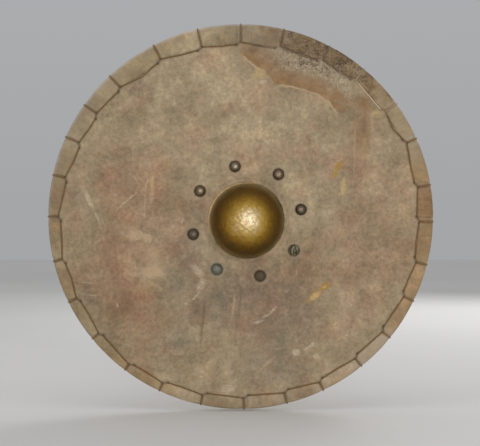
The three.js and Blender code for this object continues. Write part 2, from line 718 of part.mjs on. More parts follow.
// The least air between stretches of the cord that are over three diameters apart along it
function leastGap(points, diameter) {
  const places = [];
  const travelled = [];
  let length = 0;
  points.forEach((point, i) => {
    const next = points[i + 1];
    if (!next) return;
    const step = point.distanceTo(next);
    const count = Math.ceil(step / diameter);
    for (let k = 0; k < count; k++) {
      places.push(point.clone().lerp(next, k / count));
      travelled.push(length + (step * k) / count);
    }
    length += step;
  });
  let least = Infinity;
  for (let i = 0; i < places.length; i++) {
    for (let j = i + 1; j < places.length; j++) {
      if (travelled[j] - travelled[i] < 3 * diameter) continue;
      least = Math.min(least, places[i].distanceTo(places[j]) - diameter);
    }
  }
  console.log(`lacing ${length.toFixed(0)} mm long, least gap to itself ${least.toFixed(2)} mm`);
}

function addLacing() {
  const path = lacingPath();
  leastGap(path, CORD_DIAMETER);
  add('rim_lacing', tube(path, CORD_RADIUS, CORD_SIDES), LOOKS.cord);
  const knot = new THREE.SphereGeometry(1 / 2, 10, 7);
  knot.scale(KNOT_LENGTH, KNOT_HEIGHT, KNOT_WIDTH);
  knot.rotateY(Math.PI / 2 - THREE.MathUtils.degToRad(STITCH_DEGREES[KNOT_STITCH]));
  knot.translate(0, FIT_GAP + KNOT_HEIGHT / 2, 0);
  const { x, z } = knotCentre();
  add('lacing_knot', knot, LOOKS.cord, x, z);
}

// Grip bar: eight-sided sections along it

function gripSection(along, width, front, back, chamfer) {
  const half = width / 2;
  const outline = [
    [half, front + chamfer],
    [half, back - chamfer],
    [half - chamfer, back],
    [chamfer - half, back],
    [-half, back - chamfer],
    [-half, front + chamfer],
    [chamfer - half, front],
    [half - chamfer, front],
  ];
  return outline.map(([across, y]) => gripPoint(along, across, y));
}

function holdSection(along, spare) {
  const waist = HOLD_WAIST * (along / sleeveHalf) ** 2;
  const front = -HOLD_FORWARD + waist / 2 - spare;
  const back = HOLD_DEPTH - HOLD_FORWARD - waist / 2 + spare;
  const width = HOLD_WIDTH - waist + 2 * spare;
  const cornerCut = (HOLD_DEPTH - waist + 2 * spare) * (1 - Math.SQRT1_2);
  return gripSection(along, width, front, back, cornerCut);
}

// A hole on the bar's centre line
function gripDrill(along, radius, fromY, toY) {
  const { x, z } = gripPoint(along, 0, 0);
  return drill(x, z, radius, fromY, toY, HOLE_SIDES);
}

function addGripBar() {
  const part = (along, width, back) => gripSection(along, width, gripFront, back, GRIP_CHAMFER);
  const half = (side) => [
    part(side * gripTip, GRIP_TIP_WIDTH - 2 * GRIP_TIP_ROUNDING, armBack),
    part(side * (gripTip - GRIP_TIP_ROUNDING), GRIP_TIP_WIDTH, armBack),
    part(side * armStart, GRIP_WIDTH, armBack),
    part(side * blockEnd, GRIP_WIDTH, blockBack),
    part(side * blockStart, GRIP_WIDTH, blockBack),
    holdSection(side * sleeveHalf, 0),
    holdSection((side * sleeveHalf) / 2, 0),
  ];
  const bar = toSolid(loft([...half(1), holdSection(0, 0), ...half(-1).reverse()]));
  const clearance = NAIL_SHANK_RADIUS + HOLE_CLEARANCE;
  const nailEnd = nailPoint + HOLE_CLEARANCE;
  const cutters = [
    ...fastenings.rivets.map(({ along }) =>
      gripDrill(along, clearance, -CUT_OVERRUN, armBack + CUT_OVERRUN)),
    ...fastenings.nails.map(({ along }) => gripDrill(along, clearance, -CUT_OVERRUN, nailEnd)),
  ];
  add('grip_bar', toGeometry(cut(bar, cutters)), LOOKS.grip);
}

// Leather sleeve round the hold: outer and inner outlines along it, joined at both ends

function addSleeve() {
  const stations = [-1, -1 / 2, 0, 1 / 2, 1].map((side) => side * sleeveHalf);
  const inner = stations.map((along) => holdSection(along, FIT_GAP));
  const outer = stations.map((along) => holdSection(along, FIT_GAP + SLEEVE_THICKNESS));
  add('grip_sleeve', loft([...outer, ...inner.reverse()], true), LOOKS.sleeve);
}

function addGripFasteners() {
  const headFront = BOARD_FRONT;
  const headBack = headFront + NAIL_HEAD_THICKNESS;
  const roveBack = armBack + FIT_GAP + GRIP_ROVE_THICKNESS;
  const tailSeat = roveBack + FIT_GAP;
  const head = [
    [NAIL_SHANK_RADIUS, headBack],
    [NAIL_HEAD_RADIUS, headBack],
    [NAIL_HEAD_RADIUS, headFront],
    [0, headFront],
  ];
  const rivet = facingOut(mergedTurning([
    ...quarter(GRIP_TAIL_RADIUS, tailSeat, tailSeat + GRIP_TAIL_HEIGHT, 2).reverse(),
    [NAIL_SHANK_RADIUS, tailSeat],
    ...head,
  ], NAIL_SEGMENTS));
  const nail = facingOut(mergedTurning([
    [0, nailPoint],
    [NAIL_SHANK_RADIUS, nailPoint - NAIL_POINT_LENGTH],
    ...head,
  ], NAIL_SEGMENTS));
  const holeRadius = NAIL_SHANK_RADIUS + HOLE_CLEARANCE;
  for (const { name, along } of fastenings.rivets) {
    const { x, z } = gripPoint(along, 0, 0);
    add(`grip_rivet_${name}`, rivet, LOOKS.iron, x, z);
    const washer = rove(GRIP_ROVE_SIDE, holeRadius, armBack + FIT_GAP, GRIP_ROVE_THICKNESS);
    washer.rotateY(-LEAN);
    add(`grip_rove_${name}`, washer, LOOKS.iron, x, z);
  }
  for (const { name, along } of fastenings.nails) {
    const { x, z } = gripPoint(along, 0, 0);
    add(`grip_nail_${name}`, nail, LOOKS.iron, x, z);
  }
}

addPlanks();
addHide();
addBoss();
addRivets();
addBinding();
addLacing();
addGripBar();
addSleeve();
addGripFasteners();

export default shield;
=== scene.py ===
import math

import bpy
import numpy as np
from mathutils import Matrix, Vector


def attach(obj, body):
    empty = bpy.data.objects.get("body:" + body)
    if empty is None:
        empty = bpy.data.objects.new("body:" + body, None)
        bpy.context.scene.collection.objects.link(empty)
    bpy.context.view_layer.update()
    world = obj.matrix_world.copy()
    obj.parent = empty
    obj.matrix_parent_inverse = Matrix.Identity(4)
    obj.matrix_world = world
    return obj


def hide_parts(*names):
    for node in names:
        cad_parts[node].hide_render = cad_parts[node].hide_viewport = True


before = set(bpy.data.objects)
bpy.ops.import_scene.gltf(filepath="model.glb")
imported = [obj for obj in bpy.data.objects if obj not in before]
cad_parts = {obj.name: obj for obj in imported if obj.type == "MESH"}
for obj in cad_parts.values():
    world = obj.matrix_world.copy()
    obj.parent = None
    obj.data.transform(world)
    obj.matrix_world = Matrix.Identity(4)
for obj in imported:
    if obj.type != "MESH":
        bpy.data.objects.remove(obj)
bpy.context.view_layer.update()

# Round shield: a plank board faced with rawhide, a folded rawhide rim laced on with cord, a
# hammered brass boss on eight rivets, and a wooden grip bar behind. Lengths here are in
# millimetres and MM turns them into metres. -Y is forward, +Z up. Angles run anticlockwise from
# +X as seen from the front.

MM = 0.001
TURN = 2 * math.pi

# The same places as in the CAD
FIT_GAP = 0.3
DISC = np.array([-10.5, 7.3])  # x and z of the disc's centre, seen from the boss axis
RADIUS = 305.0
BOARD_RADIUS = 301.9
HIDE_BACK, HIDE_FRONT = -9.3, -11.8
HIDE_BACK_AT_BOSS, HIDE_FRONT_AT_BOSS = -11.1, -13.6
HIDE_RAMP = [101.8, 110.8]  # the hide slopes between these distances from the boss axis
HIDE_LIP_RISE = 2.5
FLANGE_BACK, FLANGE_FRONT, FLANGE_RADIUS = -9.3, -10.8, 101.5
BOSS_RADIUS, BOSS_POLE, BOSS_SHEET, BOSS_FILLET = 58.0, -60.8, 1.5, 3.0
BOSS_FOOT = FLANGE_FRONT - BOSS_FILLET
RIVET_PLACES = [(86.8, 12.2), (89.2, 56.4), (88.9, 102.7), (88.9, 147.5), (88.1, 193.6),
                (90.1, 237.7), (88.9, 283.1), (86.9, 328)]  # from the boss axis, degrees
RIVET_HEAD, RIVET_SEAT, RIVET_POLE = 9.0, -13.9, -19.9
BINDING_FRONT, BINDING_BACK, BINDING_THICKNESS = -14.3, 2.5, 2.2
BINDING_WIDTH, BINDING_BITE, BINDING_JOINT_GAP = 18.0, 0.6, 0.6
BINDING_STEP, BINDING_STEP_FROM, BINDING_STEP_TO = 4.0, 2.5, 5.0
CORD_RADIUS = 1.1
CORD_HOLE_PAST_STEP, CORD_CORNER_BEFORE_STEP, CORD_RISE_LENGTH = 2.0, 3.3, 6.0
CORD_BOW_AT_CORNER_SHARE, CORD_BOW_AT_CLIMB_SHARE = 0.12, 0.22
KNOT_STITCH, CORD_TAIL_LENGTH, CORD_TAILS_APART = 14, 13.0, 3.5
LEAN = math.radians(-4.9)  # of the grip bar; the planks run square to it
SEAMS = [-207.3, -104.7, -3.5, 97.6, 198.7]  # between the planks, measured along the bar
STITCH_DEGREES = [
    90, 103, 117, 133, 144.5, 155.5, 167.5, 180, 193.5, 206.5, 219.5, 233, 245, 258,
    271, 284, 295.5, 309, 321, 334, 345.5, 358.5, 369.5, 384, 396, 410, 422.5, 437,
]
WIDTH_SHARES = [
    1.5, 1.55, 1.3, 1.25, 1.25, 1.2, 1, 0.8, 0.68, 0.7, 0.65, 0.55, 0.68, 0.8,
    0.9, 0.88, 0.72, 0.8, 0.78, 0.88, 0.9, 1.15, 1.08, 0.86, 1.12, 1.15, 1.3, 1.5,
]
BOW_SHARES = [
    0.05, 0.05, 0.26, 0, 0.05, 0.08, 0, 0.05, 0.12, 0.1, 0, 0.05, 0.05, 0,
    0, 0, 0.05, 0, 0, 0.05, 0.05, 0, 0.05, 0.22, 0, 0.05, 0.05, 0.05,
]
STITCHES = len(STITCH_DEGREES)

# Fitted to the photo, a little off the CAD's
BINDING_CORNER = 4.2
BESIDE_EDGE = 1.45  # from the binding's inner edge to the middle of the cord beside it
HOLE_FROM_EDGE = 1.85
LIP_CENTRE = np.array([-1.8, 1.4])  # of the hide's hole, from the boss axis
LIP_RADIUS = 60.3

# Places on the face are written as (right, down) in units of FACE_UNIT from the frame's corner
FACE_UNIT = 1.588
FACE_CENTRE = np.array([240.7, 216.6])


def face_units(x, z):
    """Where x and z fall on the face, in face units to the right and down."""
    return FACE_CENTRE[0] + (x - DISC[0]) / FACE_UNIT, FACE_CENTRE[1] - (z - DISC[1]) / FACE_UNIT


def from_face(right, down):
    """x and z in millimetres of a place in face units."""
    return (DISC[0] + (right - FACE_CENTRE[0]) * FACE_UNIT,
            DISC[1] - (down - FACE_CENTRE[1]) * FACE_UNIT)


def rim_degrees(x, z):
    """The direction of a place from the disc's centre, from 0 to 360."""
    return np.degrees(np.arctan2(z - DISC[1], x - DISC[0])) % 360


# Numbers and noise


def smooth(value, low, high):
    """0 below low, 1 above high, and a smooth rise between them."""
    share = np.clip((value - low) / (high - low), 0, 1)
    return share * share * (3 - 2 * share)


def between(value, start, full, fading, end):
    """A smooth rise from start to full, and a fall back to 0 from fading to end."""
    return smooth(value, start, full) * (1 - smooth(value, fading, end))


def bell(distance, width):
    return np.exp(-(distance / width) ** 2)


def noise2(a, b, cell, seed):
    """Smooth noise from -1 to 1 over a and b, with bumps about one cell across."""
    grid = np.random.default_rng(seed).uniform(-1, 1, (64, 64))
    a, b = np.asarray(a, float) / cell, np.asarray(b, float) / cell
    column, row = np.floor(a).astype(int), np.floor(b).astype(int)
    past_column, past_row = smooth(a - column, 0, 1), smooth(b - row, 0, 1)

    def on_row(line):
        before, after = grid[column % 64, line % 64], grid[(column + 1) % 64, line % 64]
        return before * (1 - past_column) + after * past_column

    return on_row(row) * (1 - past_row) + on_row(row + 1) * past_row


def rough2(a, b, cell, seed, octaves=3):
    """Noise with finer and weaker bumps on top of the first ones."""
    layers = [noise2(a, b, cell / 2 ** layer, seed + layer) / 2 ** layer
              for layer in range(octaves)]
    return sum(layers) / 1.6


def unit(vector):
    return vector / np.linalg.norm(vector)


def direction(angle):
    """Unit vectors in x and z, one for each angle in radians."""
    return np.stack([np.cos(angle), np.sin(angle)], -1)


def nearest(x, z, places):
    """Distance to the nearest of some places."""
    return np.min([np.hypot(x - place[0], z - place[1]) for place in places], axis=0)


def to_path(a, b, points):
    """Distance from each place to a path of straight pieces."""
    best = np.full(np.shape(a), np.inf)
    for (a0, b0), (a1, b1) in zip(points, points[1:]):
        along = np.array([a1 - a0, b1 - b0], float)
        share = ((a - a0) * along[0] + (b - b0) * along[1]) / (along @ along)
        share = np.clip(share, 0, 1)
        best = np.minimum(best, np.hypot(a - a0 - share * along[0], b - b0 - share * along[1]))
    return best


# Meshes


def quads(rows, columns, wrap_rows=False, wrap_columns=False):
    """Faces over a grid of points that is stored row by row."""
    row = np.arange(rows if wrap_rows else rows - 1)[:, None]
    column = np.arange(columns if wrap_columns else columns - 1)
    row_after, column_after = (row + 1) % rows, (column + 1) % columns
    corners = [row * columns + column, row * columns + column_after,
               row_after * columns + column_after, row_after * columns + column]
    return np.stack(corners, -1).reshape(-1, 4).tolist()


def capped_quads(rows, columns):
    """Faces over rings of points, with a flat face at each end."""
    last = (rows - 1) * columns
    ends = [list(range(columns)), list(range(last, last + columns))[::-1]]
    return quads(rows, columns, wrap_columns=True) + ends


def volume(points, faces):
    """Six times the volume inside the faces, below 0 where they look inwards."""
    total = 0.0
    for size in {len(face) for face in faces}:
        rings = points[np.array([face for face in faces if len(face) == size])]
        for k in range(1, size - 1):
            total += (rings[:, 0] * np.cross(rings[:, k], rings[:, k + 1])).sum()
    return total


def piece(name, points, faces, look, stands_for=(), values=None, sharp=None):
    """A piece on the one body, from points in millimetres. values are numbers on its points."""
    points = np.asarray(points, float).reshape(-1, 3)
    if volume(points, faces) < 0:
        faces = [face[::-1] for face in faces]
    mesh = bpy.data.meshes.new(name)
    mesh.from_pydata((points * MM).tolist(), [], faces)
    mesh.polygons.foreach_set("use_smooth", [True] * len(mesh.polygons))
    for key, numbers in (values or {}).items():
        layer = mesh.attributes.new(key, "FLOAT", "POINT")
        layer.data.foreach_set("value", np.asarray(numbers, np.float32).ravel())
    mesh.update()
    if sharp is not None:
        mesh.set_sharp_from_angle(angle=math.radians(sharp))
    mesh.materials.append(look)
    made = bpy.data.objects.new(name, mesh)
    bpy.context.scene.collection.objects.link(made)
    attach(made, "root")
    if stands_for:
        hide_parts(*stands_for)


def turned_points(profile, segments, wobble, centre=(0, 0)):
    """Points and faces of a turned piece, from [radius, y] pairs between two points on the axis.

    wobble(angle, radius, y) gives how far each point moves out and forward.
    """
    profile = np.asarray(profile, float)
    inner = profile[1:-1]
    angles = np.arange(segments) * TURN / segments
    radius = np.repeat(inner[:, :1], segments, 1)
    y = np.repeat(inner[:, 1:], segments, 1)
    out, forward = wobble(angles[None, :], radius, y)
    radius, y = radius + out, y - forward
    points = np.stack([centre[0] + radius * np.cos(angles), y,
                       centre[1] + radius * np.sin(angles)], -1).reshape(-1, 3)
    ends = [[centre[0], profile[0, 1], centre[1]], [centre[0], profile[-1, 1], centre[1]]]
    faces = quads(len(inner), segments, wrap_columns=True)
    last = (len(inner) - 1) * segments
    start, end = len(points), len(points) + 1
    for k in range(segments):
        after = (k + 1) % segments
        faces.append([start, after, k])
        faces.append([end, last + k, last + after])
    return np.vstack([points, ends]), faces


# Node materials


def tone(red, green, blue):
    """A colour given as 0 to 255 on screen, as the light it stands for."""
    linear = [c / 255 / 12.92 if c < 10 else ((c / 255 + 0.055) / 1.055) ** 2.4
              for c in (red, green, blue)]
    return (*linear, 1.0)


def as_light(colour):
    """Three numbers are a colour on screen; a socket or four numbers stay as they are."""
    return tone(*colour) if isinstance(colour, tuple) and len(colour) == 3 else colour


class Look:
    """A node material, with short ways to add nodes."""

    def __init__(self, name, **sockets):
        self.material = bpy.data.materials.new(name)
        self.material.use_nodes = True
        self.tree = self.material.node_tree
        self.shader = self.tree.nodes["Principled BSDF"]
        self.surface(**sockets)
        self.place = self.add("ShaderNodeTexCoord").outputs["Object"]

    def surface(self, **sockets):
        for socket, value in sockets.items():
            self.feed(self.shader.inputs[socket.replace("_", " ")], value)
        return self.material

    def add(self, kind, inputs=(), **settings):
        node = self.tree.nodes.new(kind)
        for key, value in settings.items():
            setattr(node, key, value)
        for key, value in dict(inputs).items():
            self.feed(node.inputs[key], value)
        return node

    def feed(self, socket, value):
        if isinstance(value, bpy.types.NodeSocket):
            self.tree.links.new(value, socket)
        elif value is not None:
            socket.default_value = value

    def mapped(self, location=(0, 0, 0), rotation=(0, 0, 0), scale=(1, 1, 1), kind="POINT",
               vector=None):
        return self.add("ShaderNodeMapping", {
            "Vector": vector or self.place, "Location": location, "Rotation": rotation,
            "Scale": scale}, vector_type=kind).outputs[0]

    def moved(self, *location):
        """The same texture from another place, so that two layers don't fall together."""
        return self.mapped(location=location)

    def noise(self, scale, detail=3.0, roughness=0.5, distortion=0.0, vector=None, output=0):
        return self.add("ShaderNodeTexNoise", {
            "Vector": vector or self.place, "Scale": scale, "Detail": detail,
            "Roughness": roughness, "Distortion": distortion}).outputs[output]

    def stretched(self, scale, detail, roughness, distortion=0.0, vector=None):
        """Noise with its own scale along each axis."""
        return self.noise(1, detail, roughness, distortion,
                          self.mapped(scale=scale, vector=vector))

    def cells(self, scale, feature, vector=None, **inputs):
        return self.add("ShaderNodeTexVoronoi", {
            "Vector": vector or self.place, "Scale": scale, **inputs},
            feature=feature).outputs["Distance"]

    def value(self, name):
        return self.add("ShaderNodeAttribute", attribute_name=name).outputs["Fac"]

    def math(self, operation, a, b=None, clamp=False):
        inputs = {0: a} if b is None else {0: a, 1: b}
        return self.add("ShaderNodeMath", inputs, operation=operation, use_clamp=clamp).outputs[0]

    def times(self, a, b, clamp=False):
        return self.math("MULTIPLY", a, b, clamp)

    def plus(self, a, b):
        return self.math("ADD", a, b)

    def vector(self, operation, *values, output=0):
        return self.add("ShaderNodeVectorMath", dict(enumerate(values)),
                        operation=operation).outputs[output]

    def span(self, value, low, high, to_low=0.0, to_high=1.0, kind="SMOOTHSTEP"):
        return self.add("ShaderNodeMapRange", {
            "Value": value, "From Min": low, "From Max": high, "To Min": to_low,
            "To Max": to_high}, interpolation_type=kind).outputs[0]

    def spread(self, value, low, high, to_low, to_high):
        return self.span(value, low, high, to_low, to_high, "LINEAR")

    def mix(self, share, a, b, blend="MIX"):
        return self.add("ShaderNodeMix", {0: share, 6: as_light(a), 7: as_light(b)},
                        data_type="RGBA", blend_type=blend).outputs[2]

    def ramp(self, value, *stops):
        node = self.add("ShaderNodeValToRGB", {0: value})
        marks = node.color_ramp.elements
        while len(marks) < len(stops):
            marks.new(0.5)
        for mark, (position, colour) in zip(marks, stops):
            mark.position = position
            mark.color = as_light(colour)
        return node.outputs[0]

    def patched(self, colour, texture, low, high, most, tint):
        """The colour, covered by a tint where a texture is high."""
        return self.mix(self.span(texture, low, high, 0, most), colour, tint)

    def stained(self, colour, value, most, tint):
        """The colour, covered by a tint where a value on the points is high."""
        value = self.value(value) if isinstance(value, str) else value
        return self.mix(self.times(value, most, True), colour, tint)

    def overlaid(self, colour, share, texture, *stops):
        """The colour, made darker and lighter by a texture."""
        return self.mix(share, colour, self.ramp(texture, *stops), "OVERLAY")

    def relief(self, *layers):
        """A normal from layers of height, distance and strength, each laid on the last."""
        normal = None
        for height, distance, strength in layers:
            normal = self.add("ShaderNodeBump", {
                "Height": height, "Distance": distance, "Strength": strength,
                "Normal": normal}).outputs[0]
        return normal

    def oval(self, right, down, half_long, half_wide, degrees, vector):
        """1 inside a long oval on the face, in face units, fading to 0 at its edge."""
        x, z = from_face(right, down)
        inside = self.mapped(
            location=(x * MM, 0, z * MM), rotation=(0, -math.radians(degrees), 0),
            scale=(half_long * FACE_UNIT * MM, 1e3, half_wide * FACE_UNIT * MM),
            kind="TEXTURE", vector=vector)
        depth = self.add("ShaderNodeTexGradient", {"Vector": inside},
                         gradient_type="SPHERICAL").outputs["Fac"]
        return self.span(depth, 0.0, 0.6)


# Rim: the stitches, the binding's inner edge between them, and where the cord runs


def stitch(number):
    i = number % STITCHES
    angle = math.radians(STITCH_DEGREES[i])
    out = direction(angle)
    on = np.array([-out[1], out[0]])
    edge = RADIUS - BINDING_WIDTH * WIDTH_SHARES[i]
    return {
        "angle": angle + TURN * (number // STITCHES), "out": out, "on": on,
        "bow": BINDING_WIDTH * BOW_SHARES[i],
        "arrival": DISC + out * edge + on * BINDING_STEP_FROM,
        "departure": DISC + out * (edge - BINDING_STEP) + on * BINDING_STEP_TO,
    }


def span_from(number):
    start, end = stitch(number), stitch(number + 1)
    along = unit(end["arrival"] - start["departure"])
    inward = np.array([along[1], -along[0]])
    if inward @ start["out"] > 0:
        inward = -inward
    bow = start["bow"]
    corner = (end["arrival"] - along * CORD_CORNER_BEFORE_STEP
              + inward * (BESIDE_EDGE + bow * CORD_BOW_AT_CORNER_SHARE))
    return {
        "start": start, "end": end, "along": along, "inward": inward,
        "middle": (start["departure"] + end["arrival"]) / 2 + inward * bow,
        "hole": start["departure"] + along * CORD_HOLE_PAST_STEP + inward * HOLE_FROM_EDGE,
        "corner": corner,
        "climb": corner - along * CORD_RISE_LENGTH + inward * bow * CORD_BOW_AT_CLIMB_SHARE,
        "crossing": (corner - DISC) @ end["on"] + FIT_GAP,  # past the stitch's own ray
    }


SPANS = [span_from(number) for number in range(STITCHES)]
HOLES = [span["hole"] for span in SPANS]
RIVETS = [direction(math.radians(degrees)) * reach for reach, degrees in RIVET_PLACES]


def near_turns(x, z):
    """Distance to the nearest place where the lacing turns from a stitch into the next hole."""
    turns = zip(SPANS, HOLES[1:] + HOLES[:1])
    return np.min([to_path(x, z, (span["corner"], hole)) for span, hole in turns], axis=0)


# Looks

CREAM = (190, 172, 146)
PALE = (174, 151, 122)
PEACH = (186, 157, 125)
OCHRE = (166, 129, 56)
HONEY = (192, 164, 112)
UMBER = (120, 96, 72)
# the darkest tone marks soot spots and paints the shade along the creases
SOOT_AND_SHADE = (92, 74, 54)


# Marks on the face: right, down, half length, half width, degrees, colour, strength
FACE_MARKS = [
    # broad pale and dark places with clear edges
    (101, 176, 9, 6.5, 84, UMBER, 0.28), (161, 168, 8.5, 6, 10, UMBER, 0.26),
    (118, 294, 26, 6, -4, UMBER, 0.2), (125, 310, 10, 4.5, 86, UMBER, 0.3),
    (112, 251, 17, 6, 0, UMBER, 0.2), (155, 281, 6, 3, -8, UMBER, 0.3),
    (137, 280, 9, 4, 80, UMBER, 0.16), (151.5, 257, 10, 15, 0, PEACH, 0.4),
    # pale scratches and worn streaks
    (89.5, 200, 12, 3.2, -66, CREAM, 0.9), (97.5, 218, 9, 1.3, -72, CREAM, 0.5),
    (103.5, 222, 6, 1.0, -68, CREAM, 0.45), (127, 201, 18, 1.3, 42, PEACH, 0.9),
    (147, 183, 15, 1.2, 82, PEACH, 0.6), (137, 181, 9, 0.9, -62, PEACH, 0.6),
    (145, 206, 17, 1.1, 88, PEACH, 0.5), (152, 195, 11, 3, 80, PEACH, 0.55),
    (152.3, 181, 12, 2.8, 84, HONEY, 0.6), (155, 190, 9, 3.5, 84, OCHRE, 0.2),
    (160.5, 188, 2.6, 1.1, 40, PEACH, 0.7), (144, 214, 2.2, 1.1, 75, CREAM, 0.65),
    (135, 217, 8, 0.8, 58, PEACH, 0.35), (182, 221, 4, 1.3, 66, CREAM, 0.6),
    (135.5, 235, 12, 6.4, 3, PEACH, 1.0), (148, 238, 5.6, 6.2, 0, PEACH, 1.0),
    (127, 239, 5, 2.2, 20, OCHRE, 0.25), (98, 241, 6, 0.9, 20, PEACH, 0.5),
    (151.5, 272, 13.5, 7.6, 0, PEACH, 1.0), (88, 282.5, 10, 0.9, -8, PALE, 0.6),
    (92, 295, 9, 0.9, -3, PALE, 0.55), (117.6, 304.6, 2.8, 1.2, 80, CREAM, 0.7),
    (165, 300, 10, 0.8, 30, PALE, 0.4), (122, 325, 8, 0.8, 20, PALE, 0.3),
    (198, 271, 11, 5.5, -52, CREAM, 0.55), (201, 285, 10, 5, 66, CREAM, 0.55),
    (196, 296, 8, 1.1, 52, CREAM, 0.7), (186, 304, 2.6, 1.8, 0, CREAM, 0.5),
    (229, 364, 28, 1.9, 87, PALE, 0.7), (228, 388, 9.5, 5, 5, CREAM, 0.8),
    (233.5, 306, 16, 2.1, 84, PALE, 0.6), (230, 305, 4, 2.5, 0, PEACH, 0.3),
    (259, 321.5, 7, 1.7, 18, CREAM, 0.55), (266, 315.5, 6.5, 1.4, 30, CREAM, 0.45),
    (273, 310, 6, 1.6, 50, CREAM, 0.55), (267, 363, 14, 2.2, 42, PALE, 0.75),
    (252, 377, 12, 1.2, 40, PALE, 0.35), (296, 352, 5, 4.6, 0, CREAM, 1.0),
    (316, 356, 4, 3.2, 0, CREAM, 0.75), (309, 346.5, 8, 2.0, 30, CREAM, 0.95),
    (312.5, 343.5, 2.6, 1.8, 0, CREAM, 0.7), (296.5, 272, 9, 0.9, 84, PALE, 0.5),
    (287, 291, 4, 1.2, 30, PALE, 0.5), (281, 348, 9, 1.2, 5, PALE, 0.35),
    (335, 379, 16, 1.0, 30, PALE, 0.5), (303, 386, 20, 1.0, 11, PEACH, 0.5),
    (192, 78, 9, 3, 88, PALE, 0.35), (241.5, 98, 10, 1.2, -70, CREAM, 0.5),
    (238, 78, 10, 5, 60, PEACH, 0.3), (210, 137.5, 10, 1.0, 12, CREAM, 0.5),
    (219.4, 102.3, 2.4, 2.0, 0, CREAM, 0.5), (174, 330, 18, 1.2, 56, PALE, 0.35),
    (188, 352, 16, 1.1, 60, PALE, 0.35), (160, 318, 14, 1.0, 44, PALE, 0.3),
    (372, 127, 9, 0.9, 80, PALE, 0.6), (354.2, 150, 40, 1.1, 89, PALE, 0.5),
    (404, 145, 12, 1.0, 62, PALE, 0.35), (384, 121, 9, 1.4, 28, PALE, 0.5),
    # ochre stains
    (338.3, 167, 7.5, 4.4, 55, OCHRE, 1.0), (334, 174.5, 5, 3.6, 60, OCHRE, 0.95),
    (343, 187, 11, 3.6, 86, HONEY, 0.7), (325, 286.5, 7.5, 4.2, 28, OCHRE, 1.0),
    (324, 287, 4, 1.3, 30, HONEY, 0.6), (315.5, 295, 11, 5.4, 40, OCHRE, 0.75),
    (315, 295.5, 8.6, 3.6, 38, HONEY, 1.0), (306, 301.5, 4.5, 2.4, 10, OCHRE, 0.45),
    (259, 74, 9, 8, 40, HONEY, 0.5), (263, 82, 5, 2.6, 20, CREAM, 0.75),
    (379, 114, 10, 4.6, 20, HONEY, 0.4), (375, 113, 7, 3, 25, HONEY, 0.4),
    # dark spots, and painted shade along the creases
    (364, 127, 10, 4.2, 80, SOOT_AND_SHADE, 0.3), (362, 121, 5, 3, 78, SOOT_AND_SHADE, 0.25),
    (203, 322, 32, 1.8, 85, SOOT_AND_SHADE, 0.42), (240, 302, 22, 1.3, 88, SOOT_AND_SHADE, 0.3),
    (236, 330, 26, 1.6, 85, SOOT_AND_SHADE, 0.2), (253, 50, 8, 5, 15, UMBER, 0.7),
    (342, 112, 5, 3, -20, UMBER, 0.5), (90, 287, 13, 1.0, -5, SOOT_AND_SHADE, 0.15),
    (86, 292, 9, 0.9, 0, SOOT_AND_SHADE, 0.25), (145, 192, 1.2, 0.9, 0, SOOT_AND_SHADE, 0.5),
    (297, 307, 3.5, 2, 10, UMBER, 0.4), (252, 318, 9, 1.2, 28, SOOT_AND_SHADE, 0.2),
]


# How each wide cloud on the face changes the hide's colour, as a factor
CLOUD_TINTS = {
    "grey": (0.93, 1.03, 1.1, 1), "rosy": (0.92, 0.755, 0.72, 1), "ashen": (0.69, 0.665, 0.72, 1),
    "light": (1.22, 1.25, 1.28, 1), "deep": (0.78, 0.73, 0.67, 1),
}


def rawhide(name, base, second, third):
    """Scraped rawhide: soft clouds of three tones with a fine speckle."""
    look = Look(name, Roughness=0.6, Specular_IOR_Level=0.35)
    colour = look.ramp(look.noise(15, 4, 0.55), (0.36, second), (0.5, base), (0.64, third))
    for scale, detail, low, high, place in (
            (8, 2, 158, 214, (3, 1, 2)), (26, 3, 154, 218, (5, 2, 1)),
            (75, 4, 164, 210, (1, 4, 3)), (170, 4, 160, 214, (4, 1, 2)),
            (480, 3, 170, 204, (0, 0, 0))):
        shade = look.noise(scale, detail, 0.55, vector=look.moved(*place))
        colour = look.overlaid(colour, 0.75, shade, (0.25, (low, low, low - 3)),
                               (0.75, (high, high, high)))
    warm = look.noise(34, 3, 0.55, vector=look.moved(2, 7, 4))
    return look, look.patched(colour, warm, 0.5, 0.72, 0.25, (160, 129, 98))


def specked(look, colour, soiling, share, low, high):
    """Fine dark specks, thick where the soiling is high."""
    grains = look.plus(look.noise(380, 5, 0.8, 0.4),
                       look.spread(look.noise(90, 3, 0.6), 0.2, 0.8, -0.17, 0.17))
    specks = look.span(look.plus(look.times(soiling, share), grains), low, high)
    return look.mix(look.times(specks, 0.8), colour, (72, 50, 25))


def scratched(look, colour):
    """Faint pale scratches in four directions, in patches, and small pale flecks."""
    for degrees, low in ((50, 0.63), (-62, 0.66), (84, 0.63), (20, 0.66)):
        turned = look.mapped(rotation=(0, math.radians(degrees), 0))
        drawn = look.mapped(scale=(190, 9, 9), vector=turned)
        lines = look.span(look.noise(4, 1, 0.5, vector=drawn), low, low + 0.08)
        patches = look.span(look.noise(9, 2, vector=look.moved(degrees, 0, 0)), 0.45, 0.65)
        colour = look.mix(look.times(look.times(lines, patches), 0.35), colour, PALE)
    flecks = look.noise(330, 2, 0.6, vector=look.moved(6, 3, 1))
    return look.patched(colour, flecks, 0.68, 0.76, 0.5, PALE)


